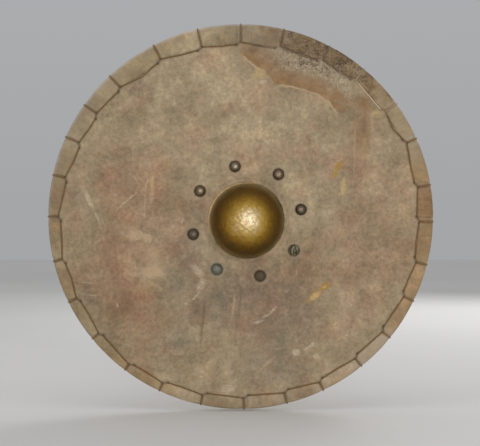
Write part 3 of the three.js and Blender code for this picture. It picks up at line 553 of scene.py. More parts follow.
def torn_skin(look, colour, mottle):
    """The skin's outer layer: torn off below a ridge, brown above it, and paler further up."""
    torn = look.plus(look.value("ridge"),
                     look.spread(look.noise(130, 3, 0.6), 0.3, 0.7, -1.2, 1.2))
    wander = look.noise(32, 5, 0.65, vector=look.moved(2, 0, 5))
    reach = look.plus(torn, look.spread(wander, 0.25, 0.75, -15, 15))
    brown = look.times(look.span(torn, -0.5, 3.0), look.span(reach, 6, 32, 1, 0))
    brown = look.math("MAXIMUM", look.times(brown, look.value("skin")), look.value("brown"), True)
    brown = look.times(brown, look.span(mottle, 0.3, 0.7, 0.62, 1.1), True)
    tint = look.mix(look.span(look.noise(85, 5, 0.7), 0.3, 0.7), (158, 122, 80), (128, 93, 55))
    colour = look.mix(look.times(brown, 0.95), colour, tint)
    lip = look.times(look.span(look.math("ABSOLUTE", torn), 0.6, 2.3, 1, 0),
                     look.value("ridge_lip"))
    return look.mix(lip, colour, (180, 154, 122))


def haired(look, colour):
    """Hair left on the skin, pale and felted, with soot between."""
    grime = look.value("grime")
    felt = look.ramp(look.noise(240, 6, 0.8, 0.5), (0.34, (124, 107, 80)),
                     (0.5, (160, 143, 115)), (0.66, (194, 178, 150)))
    colour = look.mix(look.times(look.span(grime, 0.05, 0.8), 0.8), colour, felt)
    clumps = look.span(look.noise(170, 5, 0.8, 0.4, look.moved(1, 0, 2)), 0.52, 0.64)
    colour = look.mix(look.times(clumps, look.times(grime, 0.75)), colour, (200, 186, 160))
    return specked(look, colour, look.value("soot"), 0.36, 0.64, 0.83)


def marked(look, colour):
    """The marks of the table, with broken edges."""
    wander = look.vector("SUBTRACT", look.noise(110.0, 5.0, 0.7, output=1), (0.5, 0.5, 0.5))
    shift = look.vector("MULTIPLY", wander, (0.0075, 0.0, 0.0075))
    strayed = look.vector("ADD", look.place, shift)
    broken = look.span(look.noise(420, 2, 0.6), 0.25, 0.6, 0.7, 1.0)
    flecked = look.span(look.noise(300, 4, 0.75, 0.3), 0.4, 0.58, 0.35, 1.25)
    for right, down, half_long, half_wide, degrees, tint, strength in FACE_MARKS:
        inside = look.oval(right, down, half_long, half_wide, degrees, strayed)
        dark = tint in (UMBER, SOOT_AND_SHADE)
        share = look.times(inside, broken if dark else flecked)
        colour = look.stained(colour, share, strength if dark else strength * 1.25, tint)
    return colour


def face_look():
    look, colour = rawhide("hide", (157, 137, 110), (152, 125, 99), (155, 138, 111))
    mottle = look.noise(60, 4, 0.6)
    for name, tint in CLOUD_TINTS.items():
        share = look.times(look.value(name), look.span(mottle, 0.3, 0.7, 0.75, 1.12))
        colour = look.mix(share, colour, tint, "MULTIPLY")
    colour = scratched(look, colour)
    colour = torn_skin(look, colour, mottle)
    colour = haired(look, colour)
    colour = marked(look, colour)
    colour = look.stained(colour, "verdigris", 0.6, (112, 120, 100))
    # painted shade and dirt in the corners by the binding, the lacing, the rivets and the dome
    colour = look.stained(colour, "dirt_and_shade", 0.8, (82, 61, 37))
    colour = look.stained(colour, "halo", 0.5, (168, 152, 126))
    pores = look.noise(260, 4, 0.6, 0.2)
    normal = look.relief((look.noise(60, 3, 0.5, 0.4), 0.0012, 0.5), (pores, 0.0005, 0.55),
                         (look.noise(900, 2, 0.6), 0.00022, 0.6))
    return look.surface(Base_Color=colour, Normal=normal,
                        Roughness=look.span(pores, 0.3, 0.7, 0.52, 0.72))


def binding_look(name, base, second, third, pleats):
    look, colour = rawhide(f"rawhide_{name}", base, second, third)
    drawn = look.add("ShaderNodeCombineXYZ", {
        0: look.value("along"), 1: look.value("across")}).outputs[0]
    fibres = look.stretched((140, 700, 1), 4, 0.6, 0.3, drawn)
    folds = look.stretched((330, 40, 1), 3, 0.6, 0.4, drawn)
    colour = look.overlaid(colour, 0.25, fibres, (0.3, (160, 157, 152)), (0.7, (212, 210, 208)))
    colour = look.overlaid(colour, pleats, folds, (0.35, (132, 124, 116)),
                           (0.65, (226, 224, 222)))
    colour = look.stained(colour, "tint", 0.75, (176, 158, 134))
    colour = look.stained(colour, "fold", 0.3, (176, 166, 152))
    # outer: a painted sheen on the rounded outer fold, strong on the upper left
    colour = look.stained(colour, "outer", 0.8, (186, 176, 166))
    stain = look.value("stain")
    edge = look.span(look.noise(60, 5, 0.65), 0.3, 0.7, -0.45, 0.45)
    soiled = look.ramp(look.noise(130, 5, 0.7), (0.34, (86, 67, 45)), (0.5, (122, 98, 66)),
                       (0.66, (156, 132, 98)))
    share = look.times(look.span(look.plus(stain, edge), 0.1, 1.1), 0.95)
    colour = look.mix(share, colour, soiled)
    colour = specked(look, colour, stain, 0.28, 0.7, 0.84)
    hairs = look.span(look.noise(260, 5, 0.8, 0.5, look.moved(4, 0, 2)), 0.51, 0.63)
    colour = look.mix(look.times(hairs, look.times(stain, 0.8)), colour, (176, 156, 124))
    # painted shade and a pressed darkening under and beside the cord, and painted shade along the
    # flap's inner edge
    press_and_shade = look.times(look.value("press_and_shade"), look.span(stain, 0.2, 0.8, 1, 0.4))
    colour = look.stained(colour, press_and_shade, 0.65, (84, 66, 44))
    colour = look.mix(look.value("browned"), colour, (0.86, 0.73, 0.55, 1), "MULTIPLY")
    colour = look.add("ShaderNodeVectorMath", {0: colour, "Scale": look.value("shaded")},
                      operation="SCALE").outputs[0]
    normal = look.relief((folds, 0.0006, 0.25 + pleats), (fibres, 0.0003, 0.5),
                         (look.noise(700, 3, 0.6), 0.0002, 0.6))
    return look.surface(Base_Color=colour, Normal=normal,
                        Roughness=look.span(fibres, 0.3, 0.7, 0.5, 0.7))


def cord_look():
    look = Look("cord", Roughness=0.75, Specular_IOR_Level=0.3)
    fuzz = look.noise(1500, 3, 0.7)
    colour = look.ramp(fuzz, (0.3, (122, 93, 56)), (0.7, (158, 126, 82)))
    colour = look.patched(colour, look.noise(45, 3, 0.6), 0.45, 0.7, 0.6, (160, 118, 70))
    # painted shade in the grooves between the cord's two strands
    colour = look.stained(colour, "valley_shade", 0.5, (74, 54, 31))
    # painted shade and dirt where the cord turns down into each hole
    colour = look.stained(colour, "turn_shade_and_dirt", 0.5, (74, 54, 32))
    dust = look.mix(look.span(look.noise(90, 3, 0.6), 0.4, 0.6), (112, 94, 70), (146, 126, 98))
    dust = look.mix(look.value("pale"), dust, (226, 204, 170))
    colour = look.stained(colour, "dusty", 0.9, dust)
    return look.surface(Base_Color=colour, Normal=look.relief((fuzz, 0.0003, 0.7)))


def wood(name, pale, dark, grain_degrees, offset, rings, wear, gloss):
    """Wood with its grain along +Z turned by grain_degrees about Y."""
    look = Look(name, Specular_IOR_Level=0.35)
    grain = look.mapped(location=offset, rotation=(0, math.radians(grain_degrees), 0))
    sweep = look.noise(3.2, 2, 0.42, 0.0, look.mapped(scale=(1, 1, 0.075), vector=grain))
    bands = look.spread(look.math("SINE", look.times(sweep, rings)), -1, 1, 0, 1)
    patches = look.noise(9, 3, 0.5, 0.0, look.mapped(scale=(1, 1, 0.2), vector=grain))
    fibres = look.stretched((620, 620, 14), 4, 0.65, 0.2, grain)
    pores = look.stretched((1700, 1700, 60), 2, 0.6, 0.0, grain)
    colour = look.mix(look.span(bands, 0.0, 0.55, 0.8, 0), pale, dark)
    colour = look.patched(colour, patches, 0.35, 0.7, 0.6, dark)
    colour = look.overlaid(colour, 0.6, fibres, (0.25, (118, 112, 106)), (0.75, (214, 212, 210)))
    colour = look.mix(look.times(look.span(pores, 0.62, 0.74), 0.45), colour, (52, 36, 22))
    colour = look.patched(colour, look.noise(14, 4, 0.6, 0.5), 0.5, 0.75, wear, (132, 122, 108))
    normal = look.relief((bands, 0.0004, 0.25), (fibres, 0.0004, 0.6), (pores, 0.0002, 0.5))
    look.surface(Normal=normal, Roughness=look.span(fibres, 0.3, 0.7, gloss, gloss + 0.17))
    return look, colour


PLANK_TINTS = [  # pale and dark wood of each plank
    ((170, 138, 98), (139, 105, 69)), ((160, 127, 88), (130, 96, 61)),
    ((176, 145, 105), (146, 112, 75)), ((166, 133, 92), (135, 101, 65)),
    ((158, 125, 85), (128, 94, 60)), ((173, 141, 101), (141, 108, 72)),
]


def plank_look(number):
    """One plank: its own tint, grease round the hand hole, grime along the rim."""
    look, colour = wood(f"plank_wood_{number}", *PLANK_TINTS[number - 1], math.degrees(-LEAN),
                        (0.31 * number, 0.17 * number, 0.23 * number), 150.0, 0.25, 0.55)
    blot = look.noise(28, 4, 0.6)

    def blotted_reach(centre, wander):
        flat = look.mapped(scale=(1, 0, 1))
        return look.plus(look.vector("DISTANCE", flat, centre, output="Value"),
                         look.times(blot, wander))

    greasy = look.span(blotted_reach((0, 0, 0), 0.05), 0.075, 0.15, 0.55, 0)
    colour = look.mix(greasy, colour, (70, 48, 30))
    rim = blotted_reach((DISC[0] * MM, 0, DISC[1] * MM), 0.03)
    return look.surface(Base_Color=look.patched(colour, rim, 0.27, 0.315, 0.5, (84, 62, 42)))


def grip_look():
    look, colour = wood("grip_wood", (128, 88, 54), (84, 54, 32), 90 + math.degrees(-LEAN),
                        (0.2, 0.4, 0.1), 420, 0.1, 0.38)
    along = look.add("ShaderNodeSeparateXYZ", {0: look.place}).outputs[0]
    handled = look.span(look.math("ABSOLUTE", along), 0.05, 0.12, 0.5, 0)
    return look.surface(Base_Color=look.mix(handled, colour, (62, 39, 24)))


def sleeve_look():
    look = Look("sleeve_leather", Specular_IOR_Level=0.5)
    warped = look.vector("MULTIPLY_ADD", look.place, look.noise(60.0, 2.0, output=1),
                         (0.01, 0.01, 0.01))
    creases = look.cells(260, "DISTANCE_TO_EDGE", warped)
    worn = look.noise(40, 4, 0.6)
    colour = look.ramp(look.noise(110, 4, 0.6), (0.3, (66, 40, 25)), (0.7, (98, 64, 41)))
    colour = look.patched(colour, worn, 0.48, 0.72, 0.45, (132, 94, 64))
    colour = look.mix(look.span(creases, 0.0, 0.1, 0.45, 0), colour, (34, 21, 14))
    colour = look.stained(colour, "seam", 0.5, (38, 24, 16))
    normal = look.relief((look.span(creases, 0, 0.12), 0.0003, 0.6),
                         (look.noise(900, 2, 0.6), 0.00015, 0.5))
    return look.surface(Base_Color=colour, Normal=normal,
                        Roughness=look.span(worn, 0.35, 0.7, 0.55, 0.32))


def thread_look():
    look = Look("waxed_thread", Roughness=0.7)
    fuzz = look.noise(1800, 2, 0.6)
    colour = look.ramp(fuzz, (0.3, (150, 128, 94)), (0.7, (196, 174, 136)))
    return look.surface(Base_Color=colour, Normal=look.relief((fuzz, 0.0002, 0.6)))


def brass_look():
    """Hammered brass: a painted highlight, pale and bright on the crown, then gold, olive and brown
    to the foot, partly painted falloff of the light and partly patina.
    """
    look = Look("hammered_brass", Metallic=1.0, Coat_Weight=0.15, Coat_Roughness=0.4)
    height = look.times(look.add("ShaderNodeSeparateXYZ", {0: look.place}).outputs[1], -1000.0)
    uneven = look.plus(look.spread(look.noise(34, 5, 0.65, 0.4), 0.25, 0.75, -0.05, 0.05),
                       look.spread(look.noise(190, 4, 0.7), 0.25, 0.75, -0.03, 0.03))
    crown = look.plus(look.spread(height, 14, 61, 0, 1), uneven)
    # the ramp paints the highlight and the falloff of the light: pale on the crown, darkest midway
    # down and lighter at the foot; the olive and brown are partly patina
    colour = look.ramp(crown, (0.02, (188, 162, 112)), (0.14, (140, 114, 64)),
                       (0.3, (116, 92, 44)), (0.5, (108, 81, 31)), (0.68, (126, 94, 33)),
                       (0.79, (160, 121, 41)), (0.88, (193, 157, 74)), (1.0, (202, 185, 152)))
    flecks = look.noise(520, 3, 0.7)
    colour = look.patched(colour, flecks, 0.55, 0.72, 0.55, (78, 55, 22))
    colour = look.patched(colour, look.noise(85, 5, 0.7, 0.8), 0.52, 0.68, 0.4, (132, 84, 32))
    green = look.span(look.noise(60, 5, 0.7, 0.6, look.moved(0.3, 0.1, 0.2)), 0.5, 0.66, 0, 0.5)
    colour = look.mix(look.times(green, look.span(crown, 0.9, 0.5)), colour, (66, 66, 32))
    normal = look.relief((look.cells(185, "SMOOTH_F1", Smoothness=0.35), 0.0011, 0.26),
                         (look.cells(480, "SMOOTH_F1", Smoothness=0.4), 0.0005, 0.3),
                         (look.noise(1500, 2, 0.6), 0.00012, 0.6))
    return look.surface(Base_Color=colour, Normal=normal,
                        Metallic=look.span(crown, 0.1, 0.6, 0.35, 1.0),
                        Roughness=look.plus(look.span(crown, 1.0, 0.6, 0.45, 0.48),
                                            look.span(flecks, 0.3, 0.7, -0.04, 0.08)))


# Each rivet's metal: dark tone, bright tone of the painted highlight on its head's crown, verdigris
# share, roughness
RIVET_METALS = [
    ((66, 52, 34), (120, 106, 90), 0.0, 0.34),
    ((80, 62, 43), (140, 123, 104), 0.0, 0.3),
    ((80, 65, 46), (142, 129, 112), 0.0, 0.28),
    ((77, 60, 40), (142, 126, 105), 0.05, 0.3),
    ((92, 80, 61), (109, 99, 84), 0.12, 0.42),
    ((124, 121, 100), (132, 132, 121), 0.45, 0.5),
    ((110, 96, 73), (104, 94, 76), 0.25, 0.6),
    ((84, 76, 58), (84, 76, 58), 0.3, 0.52),
]
BANDED_RIVET = 8


def rivet_look(number):
    dark, bright, green, roughness = RIVET_METALS[number - 1]
    look = Look(f"rivet_metal_{number}", Metallic=0.9)
    moved = look.moved(number * 0.1, number * 0.2, 0)
    patches = look.span(look.noise(300, 4, 0.65, 0.4, moved), 0.3, 0.6, 0.5, 1)
    # painted highlight: the bright tone on the crown of the head, the dark tone towards its edge
    colour = look.mix(look.times(look.value("crown"), patches), dark, bright)
    if number == BANDED_RIVET:
        bands = look.stretched((330, 330, 60), 2, 0.5, 0.2, moved)
        colour = look.patched(colour, bands, 0.45, 0.58, 0.8, (168, 158, 132))
    crust = look.noise(420, 4, 0.7, 0.6, moved)
    share = look.span(crust, 0.62 - green * 0.35, 0.72 - green * 0.25)
    colour = look.mix(look.times(share, green), colour, (92, 112, 102))
    normal = look.relief((look.cells(500, "SMOOTH_F1", moved), 0.0003, 0.4),
                         (crust, 0.0002, 0.5))
    return look.surface(Base_Color=colour, Normal=normal,
                        Roughness=look.span(crust, 0.3, 0.75, roughness, roughness + 0.2))


def dull_metal(name, dark, bright, rust, metallic):
    look = Look(name, Metallic=metallic)
    patches = look.noise(160, 5, 0.65, 0.5)
    fine = look.noise(700, 3, 0.65)
    colour = look.ramp(patches, (0.3, dark), (0.7, bright))
    colour = look.patched(colour, look.noise(90, 5, 0.7, 0.4), 0.52, 0.7, 0.75, rust)
    return look.surface(Base_Color=colour, Roughness=look.span(fine, 0.3, 0.7, 0.5, 0.7),
                        Normal=look.relief((patches, 0.0004, 0.4), (fine, 0.0002, 0.6)))


def floor_look():
    look = Look("floor", Roughness=0.9, Specular_IOR_Level=0.15)
    return look.surface(Base_Color=look.ramp(
        look.noise(1.2, 3, 0.5), (0.3, (212, 211, 208)), (0.7, (217, 216, 213))))


hide_look = face_look()
cord = cord_look()
thread = thread_look()
brass = brass_look()
rove_brass = dull_metal("rove_brass", (96, 76, 44), (142, 116, 68), (74, 66, 44), 0.9)
iron = dull_metal("forged_iron", (48, 42, 38), (78, 68, 60), (78, 50, 34), 0.7)


# Hide facing: one drumskin over the board, its lip curled up round the dome

# Places on the face, in face units: the edge of the torn outer skin, the creases, and how far
# across or down a thing starts, is full, fades and ends
RIDGE = ((236, 50), (244, 57.5), (256, 68), (264, 71), (270, 79), (276, 85), (288, 86.5),
         (302, 90), (318, 95.5), (330, 103.5), (336, 113))
CREASES = (  # path, depth, width
    (((240, 282), (237, 330), (230, 397)), 0.32, 2.2),
    (((206.7, 277), (201, 312), (196.7, 347)), 0.42, 2.2),
    (((196, 352), (192, 372), (186, 388)), 0.2, 2.5),
)
SKIN_ACROSS, HAIR_ACROSS = (238, 247, 344, 356), (262, 275, 344, 364)
STREAK_ACROSS, STREAK_DOWN = (352.5, 355, 367.5, 372), (96, 104, 134, 162)
FIRST_LIP, SECOND_LIP_STARTS = (241, 244, 257, 260), (279, 283)
SECOND_LIP, SECOND_LIP_ENDS = ([296, 310, 322], [1, 0.55, 0.75]), (336, 339)
LIPS_END_DOWN = (112, 116)
SHADE_FADES_ACROSS, SHADE_STARTS_DOWN = (62, 176), (120, 190)
SEAM_DEPTHS = (0.12, 0.18, 0.34, 0.14, 0.1)  # how far the hide sinks over each seam
LIP_CURL = ([0, 1.5, 3, 4.5, 6, 7.5], [1.0, 0.82, 0.45, 0.17, 0.04, 0])  # share of its rise
HIDE_RAYS, HIDE_ROWS = 720, 104  # points round the hide, and rows from the lip to the rim
LIP_STEPS = [0.0, 0.35, 0.9, 1.6, 2.4, 3.3, 4.3, 5.4, 6.5, 7.8, 9.3, *np.arange(11.2, 44, 2.0)]
# Brown spots and wide clouds on the face: strength, right, down, half width and half height in
# face units, and where they aren't 0 the turn in degrees and the hardness of the edge, up to 1
BROWN_SPOTS = [(0.85, 348, 102, 10, 9, 0, 0.4), (0.75, 362, 103, 9, 9, 0, 0.4),
               (0.85, 254, 51, 9, 7.5, -20, 0.6)]
CLOUDS = {
    "rosy": [
        (0.9, 130, 192, 36, 30, 0, 0.8), (0.35, 103, 172, 9, 11, 0, 0.8),
        (0.4, 161, 169, 9, 8, 0, 0.8), (0.85, 122, 254, 30, 20, 0, 0.6), (0.4, 144, 214, 16, 22),
        (0.85, 126, 288, 34, 14, -4, 0.6), (0.65, 124, 318, 18, 24, 0, 0.5), (0.3, 126, 348, 22, 16),
        (0.4, 128, 109, 9, 7, 0, 0.5), (0.35, 208, 56, 9, 6, 0, 0.5), (0.4, 262, 98, 14, 20),
        (0.3, 180, 62, 12, 6), (0.55, 368, 214, 34, 46), (0.35, 384, 268, 14, 18),
        (0.3, 222, 147, 20, 12), (0.6, 146, 216, 16, 18), (0.5, 170, 252, 10, 18),
        (0.4, 312, 290, 12, 10), (0.3, 168, 170, 12, 10), (0.35, 336, 172, 14, 12),
        (0.3, 275, 62, 16, 14), (0.35, 362, 112, 10, 20),
    ],
    "ashen": [
        (0.8, 264, 308, 50, 38, 0, 0.2), (0.5, 228, 290, 34, 26), (0.35, 296, 306, 30, 32),
        (0.65, 187, 246, 15, 26, 0, 0.4), (0.35, 290, 262, 30, 20), (0.35, 163, 330, 24, 30),
        (0.35, 88, 296, 16, 8, 0, 0.3), (0.25, 318, 330, 20, 24), (0.5, 272, 366, 40, 18),
    ],
    "grey": [
        (0.9, 78, 178, 18, 34), (0.5, 110, 172, 16, 12), (0.7, 144, 84, 20, 16),
        (0.5, 314, 158, 26, 20), (0.6, 192, 250, 16, 22), (0.5, 108, 282, 18, 14),
        (0.6, 192, 318, 20, 26), (0.5, 160, 345, 18, 16), (0.7, 264, 332, 26, 28),
        (0.8, 276, 368, 34, 20), (0.5, 262, 268, 16, 12), (0.4, 310, 264, 16, 12),
        (0.4, 358, 320, 16, 20), (0.6, 214, 384, 18, 10),
    ],
    "light": [
        (0.65, 238, 120, 56, 34), (0.35, 166, 82, 44, 30), (0.3, 392, 224, 24, 52),
        (0.3, 222, 378, 62, 18), (0.35, 300, 112, 34, 20, 0, 0.4), (0.35, 372, 330, 26, 30),
        (0.25, 344, 290, 30, 26), (0.4, 230, 352, 9, 44, 2, 0.3), (0.65, 205, 312, 24, 14),
        (0.5, 130, 86, 24, 16), (0.35, 200, 104, 30, 20), (0.55, 312, 175, 18, 14),
        (0.5, 340, 212, 16, 26), (0.6, 240, 166, 20, 10), (0.5, 165, 338, 20, 12),
        (0.5, 122, 338, 12, 10), (0.75, 360, 194, 14, 14), (0.4, 194, 286, 16, 14),
        (0.3, 74, 186, 12, 24), (0.5, 132, 90, 26, 18), (0.45, 228, 98, 44, 16),
        (0.4, 190, 122, 30, 14), (0.4, 216, 146, 16, 12), (0.4, 240, 168, 26, 10),
        (0.35, 96, 170, 30, 12), (0.4, 332, 172, 34, 12), (0.5, 326, 218, 20, 14),
        (0.45, 192, 268, 14, 10), (0.8, 204, 312, 22, 20), (0.4, 240, 312, 12, 16),
        (0.4, 360, 314, 16, 16), (0.45, 144, 340, 34, 12), (0.3, 168, 362, 14, 12),
        (0.4, 288, 364, 16, 12), (0.45, 216, 388, 14, 10), (0.35, 192, 52, 14, 8),
        (0.4, 104, 78, 20, 20), (0.3, 192, 98, 14, 10), (0.3, 216, 148, 12, 10),
        (0.3, 242, 170, 12, 8), (0.35, 336, 218, 12, 12), (0.4, 214, 300, 16, 18),
        (0.4, 120, 338, 14, 10),
    ],
    # darker clouds; the narrow one at 203, 322 is painted shade along a crease
    "deep": [
        (0.4, 146, 312, 46, 40), (0.25, 255, 318, 50, 30), (0.3, 203, 322, 5, 30, 3, 0.3),
        (0.45, 168, 204, 11, 26), (0.5, 290, 268, 34, 16), (0.6, 260, 276, 10, 10),
        (0.5, 294, 250, 11, 11), (0.35, 320, 262, 16, 14), (0.3, 390, 236, 14, 40),
        (0.35, 388, 272, 14, 18), (0.25, 140, 294, 18, 12), (0.25, 408, 195, 12, 26),
        (0.3, 264, 346, 26, 28), (0.25, 232, 364, 24, 14), (0.3, 122, 216, 18, 12),
        (0.3, 386, 302, 12, 20), (0.25, 355, 124, 9, 26), (0.2, 300, 104, 26, 9),
        (0.4, 348, 98, 18, 10), (0.5, 168, 182, 12, 20), (0.35, 288, 218, 10, 14),
        (0.5, 408, 218, 12, 16), (0.4, 84, 244, 18, 12), (0.5, 96, 266, 14, 10),
        (0.6, 312, 244, 14, 12), (0.4, 288, 266, 48, 12), (0.5, 396, 266, 18, 12),
        (0.5, 144, 290, 14, 10), (0.4, 300, 290, 20, 12), (0.4, 384, 302, 14, 20),
        (0.55, 264, 314, 16, 12), (0.4, 144, 314, 14, 12), (0.35, 312, 242, 14, 10),
        (0.35, 308, 266, 34, 12), (0.3, 168, 196, 10, 12), (0.3, 408, 266, 10, 14),
        (0.3, 350, 98, 18, 8), (0.3, 193, 234, 10, 10), (0.3, 312, 74, 20, 8),
    ],
    "soot": [
        (0.62, 308, 57, 32, 15, -25, 0.3), (0.15, 328, 70, 9, 6), (0.45, 300, 45, 16, 6),
        (0.3, 285, 66, 10, 5), (0.25, 345, 78, 14, 6), (0.3, 284, 46, 7, 6),
    ],
}
DUST = ([33, 37, 87, 89.5, 91], [0, 1, 1, 0.5, 0])  # on the lacing, by degrees round the rim
VERDIGRIS_RIVET, DULL_RIVET = RIVETS[5], RIVETS[7]

# The binding's inner edge all round, by angle about the disc's centre
EDGE_ANGLES = np.linspace(0, TURN, 4321)[:-1]


def inner_edge_radii():
    corners = []
    for span in SPANS:
        begin, finish, middle = span["start"]["departure"], span["end"]["arrival"], span["middle"]
        corners += [begin, begin + (middle - begin) * 2 / 3, middle + (finish - middle) / 3, finish]
    places = np.array(corners) - DISC
    shares = np.linspace(0, 1, 24, endpoint=False)[None, :, None]
    steps = np.roll(places, -1, 0) - places
    fine = (places[:, None] + steps[:, None] * shares).reshape(-1, 2)
    angles = np.arctan2(fine[:, 1], fine[:, 0]) % TURN
    order = np.argsort(angles)
    radii = np.hypot(fine[:, 0], fine[:, 1])
    return np.interp(EDGE_ANGLES, angles[order], radii[order], period=TURN)


EDGE_RADII = inner_edge_radii()


def edge_radius(angle):
    return np.interp(np.asarray(angle) % TURN, EDGE_ANGLES, EDGE_RADII, period=TURN)


def hide_surface(x, z):
    """How far forward of its drawn place the hide stands."""
    disc = np.hypot(x - DISC[0], z - DISC[1])
    right, down = face_units(x, z)
    rivet, hole = nearest(x, z, RIVETS), nearest(x, z, HOLES)
    lift = 0.75 * rough2(x, z, 88, 11, 3) + 0.28 * noise2(x, z, 33, 12)
    # the boards show through along their joints
    across = x * math.cos(LEAN) + z * math.sin(LEAN)
    for seam, deep in zip(SEAMS, SEAM_DEPTHS):
        lift -= deep * (0.6 + 0.4 * noise2(x, z, 46, 13)) * bell(across - seam, 2.4)
    for path, deep, wide in CREASES:
        crease = bell(to_path(right, down, path) * FACE_UNIT, wide)
        lift -= deep * crease * (0.7 + 0.3 * noise2(x, z, 18, 14))
    # the outer skin was scraped off below this ridge
    lift += 0.3 * bell(to_path(right, down, RIDGE) * FACE_UNIT, 2.0)
    lift *= (1 - smooth(disc, 262, 276)) * smooth(np.hypot(x, z), 96, 112)
    # slight dishes under the rivets, and the hide drawn down at each hole
    lift += 0.35 * bell(rivet - 14.5, 4.0) * (0.6 + 0.4 * noise2(x, z, 9, 15))
    lift -= 0.12 * bell(rivet, 7)
    lift -= 1.0 * bell(hole, 3.2)
    gathered = bell(hole - 7.5, 2.6) * (1 - smooth(disc, 284, 292))
    lift += 0.35 * gathered * (0.5 + 0.5 * noise2(x, z, 8, 16))
    lift += 0.07 * rough2(x, z, 6, 17, 2) * (1 - smooth(disc, 278, 286)) * smooth(rivet, 8, 12)
    return lift


def hide_values(x, z):
    """The values that the hide's look reads."""
    right, down = face_units(x, z)
    rivet, hole, turn = nearest(x, z, RIVETS), nearest(x, z, HOLES), near_turns(x, z)
    bend_right = right + 3.2 * noise2(x, z, 26, 21) + 1.6 * noise2(x, z, 9, 34)
    bend_down = down + 3.2 * noise2(x, z, 26, 22) + 1.6 * noise2(x, z, 9, 35)

    def uneven(middle, spread, cell, seed):
        return middle + spread * noise2(x, z, cell, seed)

    def patch(at_right, at_down, half_wide, half_high, degrees=0.0, hard=0.0):
        """1 in an oval with wandering edges; hard from 0, a soft cloud, to 1, a clear edge."""
        cosine, sine = direction(math.radians(degrees))
        over, up = bend_right - at_right, at_down - bend_down
        reach = np.hypot((over * cosine + up * sine) / half_wide,
                         (up * cosine - over * sine) / half_high)
        return np.exp(-reach ** 2) * (1 - hard) + (1 - smooth(reach, 0.8, 1.12)) * hard

    def patches(ovals):
        return [share * patch(*oval) for share, *oval in ovals]

    def clouds(name, most=1.0, more=0.0):
        return np.clip(more + sum(patches(CLOUDS[name])), 0, most)

    # distance to the ridge, positive on its upper side
    level = np.interp(right, *zip(*RIDGE))
    ridge = to_path(right, down, RIDGE) * FACE_UNIT * np.where(level > down, 1.0, -1.0)
    second_lip = smooth(right, *SECOND_LIP_STARTS) * np.interp(right, *SECOND_LIP)
    lip = np.clip(between(right, *FIRST_LIP) + second_lip, 0, 1)
    lip *= (1 - smooth(right, *SECOND_LIP_ENDS)) * (1 - smooth(down, *LIPS_END_DOWN))
    streak = between(right, *STREAK_ACROSS) * between(down, *STREAK_DOWN)
    streak = 0.8 * streak * uneven(0.85, 0.3, 22, 26)
    brown = np.max([streak, *patches(BROWN_SPOTS)], axis=0)
    grime = smooth(ridge, 16, 38) * between(right, *HAIR_ACROSS) * uneven(0.8, 0.3, 14, 27)
    shade = 0.42 * (1 - smooth(right, *SHADE_FADES_ACROSS)) * smooth(down, *SHADE_STARTS_DOWN)

    # painted shade and dirt in the corners by the binding, the lacing, the rivets and the dome,
    # heavier on the dome's lower right
    edge = edge_radius(np.arctan2(z - DISC[1], x - DISC[0])) - np.hypot(x - DISC[0], z - DISC[1])
    dusty = np.interp(rim_degrees(x, z), *DUST)
    lip_gap = np.hypot(x - LIP_CENTRE[0], z - LIP_CENTRE[1]) - LIP_RADIUS
    dirt_and_shade = 0.45 * bell(hole, 2.4) + 0.7 * bell(turn, 2.0) * (1 - 0.8 * dusty)
    dirt_and_shade += 0.26 * bell(edge, 2.6) * uneven(0.7, 0.5, 12, 28) * (1 - dusty)
    dirt_and_shade += 0.75 * bell(rivet - RIVET_HEAD, 1.1) + 0.2 * bell(lip_gap - 6.5, 1.6)
    dirt_and_shade += (0.25 + 0.3 * smooth(x - z, -20, 40)) * bell(lip_gap, 1.4)
    green, dull = nearest(x, z, [VERDIGRIS_RIVET]), nearest(x, z, [DULL_RIVET])
    verdigris = bell(green - 9.8, 2.4) * uneven(0.8, 0.5, 7, 36) + 0.3 * bell(dull - 9.5, 1.5)
    halo = (bell(rivet - 12.2, 1.4) * uneven(0.7, 0.4, 9, 29) + 0.4 * bell(turn - 5.0, 2.0)
            + 0.5 * bell(edge - 4.5, 2.0) * uneven(0.6, 0.5, 20, 30))
    return {
        "grey": clouds("grey"), "rosy": clouds("rosy") * uneven(0.9, 0.25, 24, 23),
        "ashen": clouds("ashen") * uneven(0.8, 0.3, 36, 24),
        "light": clouds("light") * uneven(0.85, 0.25, 44, 25),
        "deep": clouds("deep", more=shade), "brown": brown, "ridge": np.clip(ridge, -40, 60),
        "skin": between(right, *SKIN_ACROSS) * (ridge > -6), "ridge_lip": lip,
        "grime": np.clip(grime, 0, 1), "soot": clouds("soot", 0.8) * smooth(ridge, 12, 20),
        "dirt_and_shade": np.clip(dirt_and_shade, 0, 1), "verdigris": np.clip(verdigris, 0, 1),
        "halo": np.clip(halo, 0, 1)}


def lip_rise(reach):
    """How far the hide's lip stands up, at a distance from its hole's edge."""
    return HIDE_LIP_RISE * np.interp(reach, *LIP_CURL)


